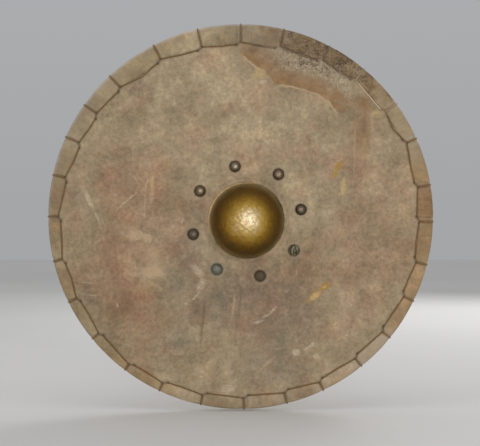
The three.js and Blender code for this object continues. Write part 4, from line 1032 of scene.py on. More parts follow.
def build_hide():
    angles = np.arange(HIDE_RAYS) * TURN / HIDE_RAYS
    out = direction(angles)
    lip = LIP_CENTRE + out * LIP_RADIUS
    edge = DISC + out * BOARD_RADIUS
    rim_shift = 0.35 * noise2(angles * 10, 0, 1.0, 31)[:, None] * out
    start = lip + out * LIP_STEPS[-1]
    points, values = [], []

    def near_lip(reach):
        return lip + out * reach + rim_shift * max(0, 1 - reach / 8)

    def level(at, near, far):
        return np.interp(np.hypot(at[:, 0], at[:, 1]), HIDE_RAMP, [near, far])

    def put_front(at, rise=0.0, share=1.0):
        x, z = at.T
        y = level(at, HIDE_FRONT_AT_BOSS, HIDE_FRONT) - rise - hide_surface(x, z) * share
        points.append(np.stack([x, y, z], -1))
        values.append(hide_values(x, z))

    def put_back(at, y):
        points.append(np.stack([at[:, 0], y, at[:, 1]], -1))
        values.append({key: np.zeros(HIDE_RAYS) for key in values[0]})

    for reach in LIP_STEPS:
        rise = lip_rise(reach) * (1 + 0.12 * noise2(angles * 6, reach * 0.1, 1.0, 32))
        put_front(near_lip(reach), np.clip(rise, 0, HIDE_LIP_RISE),
                  smooth(reach, 4, 10) if reach < 9 else 1)
    for share in np.linspace(0, 1, HIDE_ROWS + 1)[1:]:
        put_front(start + (edge - start) * share)
    # the back face, coarse: from the edge inwards, then round the lip's thickness
    for share in (1.0, 0.9, 0.75, 0.6, 0.45, 0.3, 0.15, 0.0):
        at = start + (edge - start) * share
        put_back(at, level(at, HIDE_BACK_AT_BOSS, HIDE_BACK))
    for reach in (18, 9, 6, 4.5, 3.0, 1.5, 0.5, 0.0):
        inset = 0 if reach else 0.5 * out
        put_back(near_lip(reach) + inset, np.full(HIDE_RAYS, HIDE_BACK_AT_BOSS - lip_rise(reach)))
    all_values = {key: np.concatenate([row[key] for row in values]) for key in values[0]}
    piece("rawhide_face", np.concatenate(points), quads(len(points), HIDE_RAYS, True, True),
          hide_look, ["hide_facing"], all_values)


build_hide()


# Boss: one raised sheet with its dome, foot and flange

DOME_ROWS, BOSS_SEGMENTS = 58, 232
HAMMER_MARKS = 520
GOLDEN_ANGLE = 2.39996


def ellipse(radius, foot, pole, steps):
    """A quarter of a dome from its pole to its foot, as [radius, y]."""
    turns = np.linspace(0, math.pi / 2, steps)[1:]
    return [[radius * math.sin(a), foot + (pole - foot) * math.cos(a)] for a in turns]


def build_boss():
    foot, bend_radius = BOSS_FOOT, BOSS_RADIUS + BOSS_FILLET
    inner_pole = BOSS_POLE + BOSS_SHEET
    bend = [[bend_radius - BOSS_FILLET * math.cos(a), foot + BOSS_FILLET * math.sin(a)]
            for a in np.linspace(0, 1.57, 6)[1:]]
    profile = [
        [0, BOSS_POLE], *ellipse(BOSS_RADIUS, foot, BOSS_POLE, DOME_ROWS), *bend,
        *[[reach, FLANGE_FRONT] for reach in (64, 70, 78, 88, 96, 100.6)],
        [101.3, FLANGE_FRONT + 0.2], [FLANGE_RADIUS, FLANGE_FRONT + 0.5],
        [FLANGE_RADIUS, FLANGE_BACK - 0.4], [101.2, FLANGE_BACK],
        *[[reach, FLANGE_BACK] for reach in (92, 80, 68, 60.5)],
        [58.4, FLANGE_BACK - 0.4], [57.1, FLANGE_BACK - 1.4], [56.5, FLANGE_BACK - 3],
        *ellipse(BOSS_RADIUS - BOSS_SHEET, foot, inner_pole, 24)[::-1], [0, inner_pole],
    ]
    # hammer marks, spread evenly over the dome by the golden angle and then jogged
    rng = np.random.default_rng(7)
    order = np.arange(HAMMER_MARKS)
    tilt = np.arccos(1 - (order + 0.5) / HAMMER_MARKS) + rng.normal(0, 0.03, HAMMER_MARKS)
    turn = order * GOLDEN_ANGLE + rng.normal(0, 0.07, HAMMER_MARKS)
    marks = np.stack([BOSS_RADIUS * np.sin(tilt) * np.cos(turn),
                      foot + (BOSS_POLE - foot) * np.cos(tilt),
                      BOSS_RADIUS * np.sin(tilt) * np.sin(turn)], -1)
    deep = rng.uniform(0.12, 0.34, HAMMER_MARKS)
    wide = rng.uniform(3.0, 4.8, HAMMER_MARKS)

    def wobble(angle, radius, y):
        angle = angle + 0 * radius
        at = np.stack([radius * np.cos(angle), y, radius * np.sin(angle)], -1)
        on_front = (y < foot + 0.5) & (np.arange(len(y))[:, None] < DOME_ROWS)
        dent = np.zeros(radius.shape)
        for mark, depth, width in zip(marks, deep, wide):
            gap = np.linalg.norm(at - mark, axis=-1)
            dent += depth * np.clip(1 - (gap / width) ** 2, 0, 1) ** 1.5
        slow = 0.22 * rough2(at[..., 0], at[..., 2] + 0.7 * y, 31, 41, 2)
        dent = (np.minimum(dent, 0.5) + 0.25 - slow) * on_front * smooth(foot - y, -0.5, 4)
        slope_out, slope_on = radius / BOSS_RADIUS ** 2, (foot - y) / (BOSS_POLE - foot) ** 2
        length = np.hypot(slope_out, slope_on) + 1e-9
        return -dent * slope_out / length, -dent * slope_on / length

    points, faces = turned_points(profile, BOSS_SEGMENTS, wobble)
    piece("boss_shell", points, faces, brass, ["boss"])


build_boss()


# Rivets: head, shank and hammered tail in one, each a little different


def build_rivet(name, node, place, look, seed, head, shank, tail, segments):
    """head and tail are a radius, a seat and an end in y; a sunk head is a flat disc."""
    head_radius, head_seat, head_end, flat = head
    tail_radius, tail_seat, tail_end = tail
    if flat:
        front = [[0, head_end], [head_radius * 0.5, head_end], [head_radius * 0.94, head_end + 0.03],
                 [head_radius, head_end + 0.15], [head_radius, head_seat]]
    else:
        front = [[0, head_end], *ellipse(head_radius, head_seat - 0.5, head_end, 17),
                 [head_radius * 0.995, head_seat - 0.2], [head_radius * 0.96, head_seat]]
    profile = front + [
        [head_radius * 0.7, head_seat], [shank + 0.3, head_seat], [shank, head_seat + 0.3],
        [shank, tail_seat - 0.3], [shank + 0.2, tail_seat], [tail_radius * 0.93, tail_seat],
        [tail_radius, tail_seat + 0.3],
        *ellipse(tail_radius * 0.99, tail_seat + 0.4, tail_end, 9)[::-1], [0, tail_end]]
    lobes = np.random.default_rng(seed).uniform(-1, 1, (3, 2)) * np.array([
        [0.012, 0.02], [0.008, 0.02], [0.006, 0.012]])

    def wobble(angle, radius, y):
        front_part, back_part = y < head_seat + 0.1, y > tail_seat
        swell = sum(first * np.cos(count * angle + count - 2) + second * np.sin(count * angle)
                    for count, (first, second) in enumerate(lobes, 2))
        out = radius * swell * (0.55 * front_part + 1.6 * back_part)
        x, z = np.cos(angle) * radius, np.sin(angle) * radius
        facets = (0.14 * noise2(x + seed * 7, z, 2.6, seed)
                  + 0.06 * noise2(x, z + seed * 5, 1.4, seed + 1))
        out = np.where(front_part, np.minimum(out, 0.0) if flat else out - 0.1,
                       out - 0.08 * back_part)
        forward = ((facets - 0.15) * smooth(head_radius - radius, 0.05, 1.4)
                   * (front_part & (not flat)))
        forward += ((0.2 - facets * 1.6) * smooth(tail_radius - radius, 0.02, 0.8)
                    * (y > tail_seat + 0.2))
        return out, forward

    points, faces = turned_points(profile, segments, wobble, place)
    # crown: where the painted highlight lies, 1 in the middle of the head
    reach = np.hypot(points[:, 0] - place[0], points[:, 2] - place[1])
    crown = 1 - np.clip(reach / head_radius, 0, 1) ** 2.2
    piece(name, points, faces, look, [node], {"crown": crown}, sharp=50)


for number, place in enumerate(RIVETS, 1):
    build_rivet(f"rivet_{number}", f"boss_rivet_{number}", place, rivet_look(number),
                100 + number,
                (RIVET_HEAD, RIVET_SEAT, RIVET_POLE, False), 2.5, (4.4, 1.9, 3.9), 72)


def grip_point(along, across):
    """x and z of a place along and across the grip bar."""
    return np.array([along * math.cos(LEAN) - across * math.sin(LEAN),
                     along * math.sin(LEAN) + across * math.cos(LEAN)])


BAR_RIVETS = {"left_outer": -232.9, "left_inner": -156.0, "right_inner": 148.2,
              "right_outer": 228.6}  # places along the bar
for name, along in BAR_RIVETS.items():
    build_rivet(f"bar_rivet_{name}", f"grip_rivet_{name}", grip_point(along, 0), iron,
                300 + int(along), (4.5, -8.0, -9.0, True), 1.8, (3.2, 10.0, 11.5), 40)


# The CAD's planks, roves and nails keep their shape and get their own looks, and the planks and
# roves get eased edges


def dress(node, look, width=0.0):
    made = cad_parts[node]
    made = bpy.data.objects[made] if isinstance(made, str) else made
    if not made.material_slots:
        made.data.materials.append(look)
    for slot in made.material_slots:
        slot.material = look
    if width:
        bevel = made.modifiers.new("eased_edges", "BEVEL")
        bevel.width = width * MM
        bevel.segments = 2
        bevel.limit_method = "ANGLE"
        bevel.angle_limit = math.radians(40)
        bevel.use_clamp_overlap = True


for number in range(1, 7):
    dress(f"plank_{number}", plank_look(number), 0.4)
for number in range(1, 9):
    dress(f"boss_rove_{number}", rove_brass, 0.25)
for name in BAR_RIVETS:
    dress(f"grip_rove_{name}", iron, 0.2)
for name in ("left", "right"):
    dress(f"grip_nail_{name}", iron)


# Rim binding: rawhide strips folded over the edge and drawn in by the stitches

STRIPS = {  # the stitches where each strip begins and ends
    "upper_right": (22, 28), "upper_left": (28, 35), "lower_left": (7, 14),
    "lower_right": (14, 21), "patch": (21, 22),
}
BINDING_LOOKS = {  # three tones of the hide, and how clearly it is pleated
    "upper_right": ((150, 131, 102), (141, 119, 90), (162, 145, 116), 0.14),
    "upper_left": ((140, 122, 90), (130, 109, 78), (154, 138, 110), 0.14),
    "lower_left": ((141, 123, 91), (132, 111, 82), (155, 138, 109), 0.14),
    "lower_right": ((154, 135, 111), (143, 121, 95), (168, 149, 126), 0.16),
    "patch": ((140, 115, 88), (122, 97, 70), (158, 134, 106), 0.4),
}
# Round the rim, by degrees: how brown, light, stained and pale the binding is
BROWNED = ([0, 14, 24, 36, 60, 80, 100, 165, 182, 196, 222, 244, 252, 320, 325, 345, 360],
           [1, 0.8, 0.1, 0.5, 0.4, 0.1, 0, 0.1, 0.6, 0.25, 0.4, 0.35, 0.1, 0.1, 1, 1.05, 1])
SHADED = ([0, 30, 45, 62, 75, 98, 106, 138, 146, 168, 182, 194, 230, 256, 276, 290, 360],
          [1, 1.04, 1, 0.8, 0.92, 0.87, 1.12, 1.14, 0.93, 0.91, 0.83, 0.98, 1.16, 1.13, 0.9,
           1.08, 1])
STAINS = ([0, 30, 40, 50, 58, 66, 74, 80, 95, 360], [0, 0, 0.35, 0.75, 0.9, 0.8, 0.75, 0.2, 0, 0])
TINTS = ([0, 20, 60, 90, 130, 160, 200, 240, 290, 306, 310, 320, 323, 340, 360],
         [0.35, 0.45, 0.4, 0.15, 0.3, 0.3, 0.2, 0.25, 0.3, 0.45, 0.95, 0.95, 0.4, 0.35, 0.35])
OUTER_SHEEN = ([70, 90, 175, 200], [0.15, 1, 1, 0.15])  # a painted sheen on its outer fold, strong on the upper left

RIM_REACH = 300.0  # lengths along the rim are measured this far from the disc's centre
STATION_STEP = 1.25
CROSSING_REACH = 297.0  # the cord's crossings are measured this far out
CROSSINGS = [(span["end"]["angle"] + span["crossing"] / CROSSING_REACH) % TURN for span in SPANS]
FLAP_SHARES = (0, 0.04, 0.1, 0.18, 0.28, 0.4, 0.52, 0.64, 0.76, 0.86, 0.94, 1.0)
FLAP_SETTLES = 0.12  # the flap's ground lies this far behind BINDING_FRONT
PUFF_MOST = 1.45
KNUCKLE_LEVEL = -12.0  # the cord darkens the binding only in front of this


def turn_gap(angle, other):
    return (angle - other + math.pi) % TURN - math.pi


def softened(radii):
    """The drawn edge with its sharp steps softened."""
    return np.convolve(np.pad(radii, 2, mode="edge"), [0.1, 0.22, 0.36, 0.22, 0.1], "valid")


def build_strip(name, look, seed):
    first, last = (stitch(number) for number in STRIPS[name])
    begin_x, begin_z = first["departure"] + first["on"] * BINDING_JOINT_GAP - DISC
    end_x, end_z = last["departure"] - DISC
    lower, upper = math.atan2(begin_z, begin_x), math.atan2(end_z, end_x)
    while upper < lower:
        upper += TURN
    length = (upper - lower) * RIM_REACH
    stations = max(24, int(length / STATION_STEP))
    angles = np.linspace(lower, upper, stations)
    travel = np.linspace(0, length, stations)
    out, round_rim = direction(angles), angles * RIM_REACH
    degrees = np.degrees(angles) % 360

    # along the strip: where it is held by a stitch, loose between two, and gathered beside one
    gap = np.min([np.abs(turn_gap(angles, a)) for a in CROSSINGS], axis=0) * RIM_REACH
    held, loose = bell(gap, 2.0), smooth(gap, 3, 24)
    pleat = bell(gap - 4.6, 1.5) * 0.45 + bell(gap - 9.5, 1.8) * 0.2
    puff = 0.75 + 0.35 * noise2(travel, seed, 38, seed + 2)
    clean = 1 - 0.75 * np.interp(degrees, *DUST)
    # painted shade and a pressed darkening where the cord crosses at each stitch, and painted shade
    # along the flap's inner edge, both less where the lacing is dusty
    stitch_press_and_shade = (bell(gap, 1.7) * 0.9 + 0.2 * bell(gap - 2.6, 1.0)) * clean
    edge_shade = 0.42 * clean * (0.6 + 0.4 * noise2(travel, 0, 13, seed + 5))

    front, back, corner = BINDING_FRONT, BINDING_BACK, BINDING_CORNER
    back_edge = softened(edge_radius(angles))
    front_edge = back_edge + 0.22 * noise2(round_rim, seed, 9, seed)
    worn = 0.12 * (1 + noise2(round_rim, seed, 26, seed + 1)) * (1 - bell(gap, 6.0))
    radius = RADIUS - BINDING_BITE * bell(gap, 6.5) - worn
    inside = radius - BINDING_THICKNESS
    flap = np.maximum(radius - corner - front_edge, 2)
    columns = []
    values = {key: [] for key in ("along", "across", "press_and_shade", "fold", "outer")}

    def put(reach, y, across, fold, press_and_shade, outer=0.0):
        """One line of points along the strip; across is how far round the fold it lies."""
        x, z = (DISC + out * reach[:, None]).T
        y = np.broadcast_to(y, x.shape)
        columns.append(np.stack([x, y, z], -1))
        # painted shade and dirt on the binding beside the cord's turns
        knuckle = clean * bell(near_turns(x, z), 2.0) if y[0] < KNUCKLE_LEVEL else 0
        painted_sheen = outer * np.interp(degrees, *OUTER_SHEEN) * (
            0.8 + 0.35 * noise2(travel, across, 14, seed + 9))
        for key, numbers in {
                "along": travel * MM, "across": across * MM, "fold": fold, "outer": painted_sheen,
                "press_and_shade": np.clip(np.maximum(press_and_shade, knuckle), 0, 1)}.items():
            values[key].append(np.broadcast_to(numbers, x.shape))

    for share in FLAP_SHARES:
        hump = math.sin(math.pi * share ** 0.8) ** 0.8 if 0 < share < 1 else 0
        rise = puff * hump * (0.25 + 0.75 * loose)
        rise += pleat * (0.35 + 0.65 * hump) * (0.7 + 0.3 * noise2(travel, share * 9, 7, seed + 3))
        rise += (0.22 * noise2(travel, share * 22, 8, seed + 4) * (1 - held)
                 * min(1, share * 5 + 0.25))
        rise -= 0.55 * held * (1 if share > 0.02 else 0.4)
        press_and_shade = np.clip(stitch_press_and_shade + edge_shade * max(0, 1 - share * 9), 0, 1)
        put(front_edge + flap * share, front - np.minimum(rise, PUFF_MOST) + FLAP_SETTLES,
            share * 16, pleat * 1.4, press_and_shade, 0.15 * share ** 3)
    for turn in np.linspace(0, math.pi / 2, 8)[1:]:
        flat, deep = 1 - math.sin(turn), 1 - math.cos(turn)
        bulge = 0.06 * noise2(travel, 20 + turn * 6, 9, seed + 6)
        put(radius - corner * flat, front + FLAP_SETTLES * flat + corner * deep + bulge,
            17 + turn * corner, pleat, stitch_press_and_shade * 0.9, min(1, 0.3 + turn))
    for level in (-7.6, -5.2, -2.6):
        put(radius, level, 35 + level, pleat * 0.6, stitch_press_and_shade * 0.9, 0.6)
    for turn in np.linspace(0, math.pi / 2, 6)[1:]:
        put(radius - corner * (1 - math.cos(turn)), back - corner * (1 - math.sin(turn)),
            36 + turn * corner, pleat, stitch_press_and_shade * 0.9, 0.3)
    for share in (0.9, 0.75, 0.58, 0.42, 0.26, 0.12, 0.0):
        rise = (0.5 * math.sin(math.pi * share) * loose + 0.25 * pleat) * (1 - held)
        put(back_edge + (radius - corner - back_edge) * share, back + np.clip(rise, 0, 1) - 0.15,
            60 - share * 16, pleat, stitch_press_and_shade * 0.9)
    # and back to the front flap along the hidden side, which lies on the board and the hide
    back_inner, front_inner = back - BINDING_THICKNESS, front + BINDING_THICKNESS
    for reach, y, across in (
            (back_edge + 0.15, back_inner + 0.1, 62), ((back_edge + inside) / 2, back_inner, 70),
            (inside, back_inner, 78), (inside, -6, 84), (inside, front_inner, 90),
            ((front_edge + inside) / 2, front_inner, 96),
            (front_edge + 0.25, front_inner - 0.1, 102)):
        put(reach, y, across, 0, 0)

    section = len(columns)
    all_values = {key: np.stack(numbers, 1).ravel() for key, numbers in values.items()}
    for key, stops, drift, cell, shift, most in (
            ("tint", TINTS, 0.15, 30, 7, 1), ("stain", STAINS, 0, 30, 7, 1),
            ("browned", BROWNED, 0.12, 22, 8, 2), ("shaded", SHADED, 0.05, 22, 8, 2)):
        level = np.interp(degrees, *stops) + drift * noise2(travel, 0, cell, seed + shift)
        all_values[key] = np.repeat(np.clip(level, 0, most), section)
    piece(f"rawhide_{name}", np.stack(columns, 1), capped_quads(stations, section), look,
          [f"binding_strip_{name}"],
          all_values, sharp=60)


for number, name in enumerate(STRIPS):
    build_strip(name, binding_look(name, *BINDING_LOOKS[name]), 500 + number * 10)


# Lacing: one twisted cord, up through each hole, along the binding's edge and out over the rim

LIFT = 1.02  # from a surface to the middle of the cord on it
CORD_ON_HIDE = HIDE_FRONT - LIFT
CORD_ON_BINDING = BINDING_FRONT + 0.62 - LIFT
CORD_BEHIND = BINDING_BACK - 0.1 + LIFT
CORD_BEHIND_BOARD = LIFT
CORD_SIDES = 12
FINE_STEP = 0.3
PALE_DUST = ([34, 38, 48, 51], [0, 1, 1, 0])  # by degrees round the rim


def along_line(route, step, soften):
    """Even points along a route of (x and z, y), its corners softened over a distance."""
    points = np.array([[place[0], y, place[1]] for place, y in route])
    gaps = np.linalg.norm(np.diff(points, axis=0), axis=1)
    travel = np.concatenate([[0], np.cumsum(gaps)])
    even = np.arange(0, travel[-1], FINE_STEP)
    reach = int(3 * soften / FINE_STEP)
    weights = np.exp(-(np.arange(-reach, reach + 1) * FINE_STEP / soften) ** 2 / 2)
    weights /= weights.sum()
    path = [np.interp(even, travel, points[:, k]) for k in range(3)]
    path = [np.convolve(np.pad(line, reach, mode="edge"), weights, "valid") for line in path]
    return np.stack(path, -1)[::round(step / FINE_STEP)]


def tube(path, radius, sides, pitch, closed=False, taper=0.0):
    """Points, faces and values of a cord of two strands, twisted along a path."""
    count = len(path)
    ahead = np.roll(path, -1, 0) - np.roll(path, 1, 0)
    if not closed:
        ahead[0], ahead[-1] = path[1] - path[0], path[-1] - path[-2]
    ahead /= np.linalg.norm(ahead, axis=1)[:, None]
    side = np.zeros_like(path)
    side[0] = unit(np.cross(ahead[0], [0.3, 1.0, 0.2]))
    for k in range(1, count):
        side[k] = unit(side[k - 1] - ahead[k] * (side[k - 1] @ ahead[k]))
    other = np.cross(ahead, side)
    travel = np.concatenate([[0], np.cumsum(np.linalg.norm(np.diff(path, axis=0), axis=1))])
    around = np.arange(sides) * TURN / sides
    turn = around[None, :] + (travel * TURN / pitch)[:, None]
    strand = np.abs(np.cos(around))
    width = radius * (0.66 + 0.34 * strand ** 1.3)
    if taper:
        to_end = np.minimum(travel, travel[-1] - travel)
        width = width[None, :] * np.sqrt(np.clip(to_end / taper + 0.04, 0, 1))[:, None]
    points = (path[:, None, :] + side[:, None, :] * (np.cos(turn) * width)[..., None]
              + other[:, None, :] * (np.sin(turn) * width)[..., None])
    faces = quads(count, sides, True, True) if closed else capped_quads(count, sides)
    return points.reshape(-1, 3), faces, {"valley_shade": np.tile((1 - strand) ** 1.5, count)}


def join(parts):
    """One mesh of several loose parts."""
    all_points, all_faces, all_values, shift = [], [], {}, 0
    for points, faces, values in parts:
        all_points.append(points)
        all_faces += [[corner + shift for corner in face] for face in faces]
        for key, numbers in values.items():
            all_values.setdefault(key, []).append(numbers)
        shift += len(points)
    return (np.concatenate(all_points), all_faces,
            {key: np.concatenate(numbers) for key, numbers in all_values.items()})


def knot_place():
    home = stitch(KNOT_STITCH)
    depth = (HOLES[KNOT_STITCH] - DISC) @ home["out"] - CORD_TAIL_LENGTH
    return DISC + home["out"] * depth + home["on"] * 2.5


def over_rim(end, along):
    """The cord's way over the rim, from the binding's front to its back."""
    reach = BINDING_CORNER + LIFT
    bevel = reach * math.sqrt(0.5)
    centre = RADIUS - BINDING_BITE - 0.15 - BINDING_CORNER
    front, back = CORD_ON_BINDING + reach, CORD_BEHIND - reach
    route = [
        (0, front - reach), (reach * 0.4, front - reach * 0.93), (bevel, front - bevel),
        (reach * 0.94, front - reach * 0.36), (reach, front), (reach, back),
        (bevel, back + bevel), (reach * 0.3, back + reach * 0.96), (-1.5, CORD_BEHIND)]
    return [(DISC + end["out"] * (centre + depth) + end["on"] * along, y) for depth, y in route]


def lacing_route():
    home, first_hole, knot = stitch(KNOT_STITCH), HOLES[KNOT_STITCH], knot_place()
    out, on = home["out"], home["on"]
    knot_face = knot + out * 3.4
    tail_apart, tail_end = on * CORD_TAILS_APART / 2, 2.2
    route = [
        (knot + out * 1.5 + on * 1.2, tail_end), (knot_face + tail_apart, CORD_BEHIND_BOARD),
        (first_hole - out * 2.6, CORD_BEHIND_BOARD), (first_hole - out * 0.4, 0.5),
        (first_hole, -0.6)]
    for number in range(KNOT_STITCH, KNOT_STITCH + STITCHES):
        span = SPANS[number % STITCHES]
        hole, along, inward = span["hole"], span["along"], span["inward"]
        corner, climb, end = span["corner"], span["climb"], span["end"]
        middle = (hole + climb) / 2 + inward * span["start"]["bow"]
        halfway = (climb + corner) / 2
        route += [
            (hole, -9.5), (hole, HIDE_FRONT + 0.7), (hole + along * 0.5, HIDE_FRONT - 0.35),
            (hole + along * 1.6, CORD_ON_HIDE - 0.12), (hole + along * 4, CORD_ON_HIDE),
            (middle, CORD_ON_HIDE), (climb - along * 1.5, CORD_ON_HIDE),
            (climb + along * 1.2, CORD_ON_HIDE - 0.25),
            (halfway + along * 1.3, (CORD_ON_HIDE + CORD_ON_BINDING) / 2 - 0.25),
            (corner - along * 0.3, CORD_ON_BINDING - 0.35),
            (corner - inward * 1.2 + end["on"] * 0.3, CORD_ON_BINDING - 0.5),
            (corner - inward * 3.0 + end["on"] * 0.3, CORD_ON_BINDING - 0.1),
            *over_rim(end, span["crossing"]),
        ]
        if number + 1 < KNOT_STITCH + STITCHES:
            after = SPANS[(number + 1) % STITCHES]
            hole, inward = after["hole"], after["inward"]
            route += [(hole - inward * 2.6, CORD_BEHIND),
                      (hole - inward * 0.8, CORD_BEHIND - 0.25), (hole, CORD_BEHIND - 1.2)]
    # over the rim for the last time, and down the back to the knot beside the first end
    clear = SPANS[KNOT_STITCH - 1]["corner"] - on * 1.1
    return route + [
        (clear + out * 2.2, CORD_BEHIND), (clear - out * 0.6, CORD_BEHIND),
        (clear - out * 2.6, 2.3), (clear - out * 4.4, CORD_BEHIND_BOARD),
        (knot_face - tail_apart, CORD_BEHIND_BOARD), (knot + out * 1.5 - on * 1.2, tail_end)]


def build_lacing():
    route = along_line(lacing_route(), 0.9, 0.75)
    points, faces, values = tube(route, CORD_RADIUS, CORD_SIDES, 7.0)
    x, y, z = route.T
    degrees = rim_degrees(x, z)
    for key, numbers in {
            "dusty": np.interp(degrees, *DUST) * (y < -9),
            "pale": np.interp(degrees, *PALE_DUST), "turn_shade_and_dirt": bell(near_turns(x, z), 2.2)}.items():
        values[key] = np.repeat(numbers, CORD_SIDES)
    piece("laced_cord", points, faces, cord, ["rim_lacing"], values)


def build_knot():
    """A flat knot of one closed loop, with the cord's two cut ends standing out of it."""
    home, centre = stitch(KNOT_STITCH), knot_place()
    out, on = home["out"], home["on"]
    turn = np.linspace(0, TURN, 140, endpoint=False)
    lie = (np.sin(turn) + 2 * np.sin(2 * turn)) / 3 * 4.1
    wide = (np.cos(turn) - 2 * np.cos(2 * turn)) / 3 * 2.35
    high = 2.8 - np.sin(3 * turn) * 1.25
    loop = np.stack([centre[0] + on[0] * lie + out[0] * wide, high,
                     centre[1] + on[1] * lie + out[1] * wide], -1)
    parts = [tube(loop, CORD_RADIUS * 0.98, CORD_SIDES, 6.0, closed=True)]
    for side, rise, reach in ((1, 1.6, 6.4), (-1, 3.0, 6.6)):
        tail = [(centre + on * side * 1.5, 2.6), (centre + on * side * 3.6, rise + 1),
                (centre + on * side * reach - out * 1.6, rise)]
        parts.append(tube(along_line(tail, 0.6, 0.6), CORD_RADIUS * 0.95, CORD_SIDES, 6.0,
                          taper=0.7))
    points, faces, values = join(parts)
    piece("laced_cord_knot", points, faces, cord, ["lacing_knot"], values)


build_lacing()
build_knot()


# Grip bar: carved from one piece, oval in the hold, thick blocks beside it, thin arms

HOLD_END, HOLD_HALF_WIDTH, HOLD_FRONT, HOLD_BACK = 46.0, 15.0, -3.0, 17.0
BLOCK_HALF_WIDTH, BLOCK_FRONT, BLOCK_BACK = 16.0, 0.3, 22.3
ARM_START, ARM_END, ARM_BACK = 106.5, 251.4, 8.4
TIP_START, TIP_HALF_WIDTH, BAR_END = 250.4, 11.0, 258.0
SLEEVE_OUT, SLEEVE_IN = 1.95, 0.12  # the leather's two faces, out from the bar's wood
SLEEVE_SEAM = 0.25  # share round the sleeve, in the middle of the back
BAR_SIDES, SLEEVE_SIDES = 40, 72
STITCH_PITCH, STITCH_FROM_SEAM, STITCH_SIDES = 5.0, 0.036, 360


def waist(along):
    """The hold is fullest in its middle: 0 there, 1 from its ends on."""
    return (np.minimum(np.abs(along), HOLD_END) / HOLD_END) ** 2


def bar_half_width(along):
    hold = HOLD_HALF_WIDTH - waist(along)
    along = np.abs(along)
    arm = np.interp(along, [ARM_START, ARM_END], [BLOCK_HALF_WIDTH, TIP_HALF_WIDTH])
    tip = np.sqrt(np.clip(1 - (np.clip(along - TIP_START, 0, 8) / 8.6) ** 2, 0, 1))
    arm = np.where(along > TIP_START, np.minimum(arm, TIP_HALF_WIDTH * tip), arm)
    block = hold + (BLOCK_HALF_WIDTH - hold) * smooth(along, HOLD_END - 0.5, 52)
    return np.where(along > ARM_START, arm, block)


def bar_front(along):
    hold = HOLD_FRONT + waist(along)
    return hold + (BLOCK_FRONT - hold) * smooth(np.abs(along), HOLD_END, 51.8)


def bar_back(along):
    hold = HOLD_BACK - waist(along)
    along = np.abs(along)
    block = hold + (BLOCK_BACK - hold) * smooth(along, HOLD_END + 0.5, 52.5)
    arm = BLOCK_BACK + (ARM_BACK - BLOCK_BACK) * smooth(along, 83.5, ARM_START + 1)
    return np.where(along > 84.5, arm, block)


def bar_section(along, spare, sides):
    """Points round the bar at one place along it, as [across, y]: a box with round corners."""
    half, front, back = bar_half_width(along), bar_front(along) - spare, bar_back(along) + spare
    half, deep = half + spare, (back - front) / 2
    around = direction(np.arange(sides) * TURN / sides)
    roundness = 1 - smooth(abs(along), 45, 53)
    corner = min(half, deep) * np.where(around[:, 1:] > 0, 0.18 + 0.62 * roundness,
                                        0.05 + 0.75 * roundness)
    flat = np.copysign(np.minimum(1, np.abs(around) * 1.9) ** 0.8, around)
    return [0, (front + back) / 2] + flat * ([half, deep] - corner) + around * corner


def bar_skin(stations, spare, sides, ripple=None):
    """Rings of points along the bar; ripple(along, share round) moves them outwards."""
    rows = []
    for along in stations:
        section = bar_section(along, spare, sides)
        if ripple:
            outward = section - section.mean(0)
            outward /= np.linalg.norm(outward, axis=1)[:, None]
            section = section + outward * ripple(along, np.arange(sides) / sides)[:, None]
        x, z = grip_point(along, section[:, 0])
        rows.append(np.stack([x, section[:, 1], z], -1))
    return np.array(rows)


def build_bar():
    stations = np.unique(np.concatenate([
        np.arange(-BAR_END, BAR_END + 0.1, 3.0), np.arange(-110, 110.1, 1.5),
        *[[-end, end] for end in (251.5, 253, 254.5, 256, 257, 258.3)]]))

    def carving(along, share):
        facets = 0.14 * noise2(along, share * 60, 9, 61)
        return facets + 0.1 * noise2(along, share * 30, 3.5, 62) - 0.12

    skin = bar_skin(stations, 0.0, BAR_SIDES, carving)
    piece("carved_grip_bar", skin, capped_quads(len(stations), BAR_SIDES), grip_look(),
          ["grip_bar"], sharp=45)


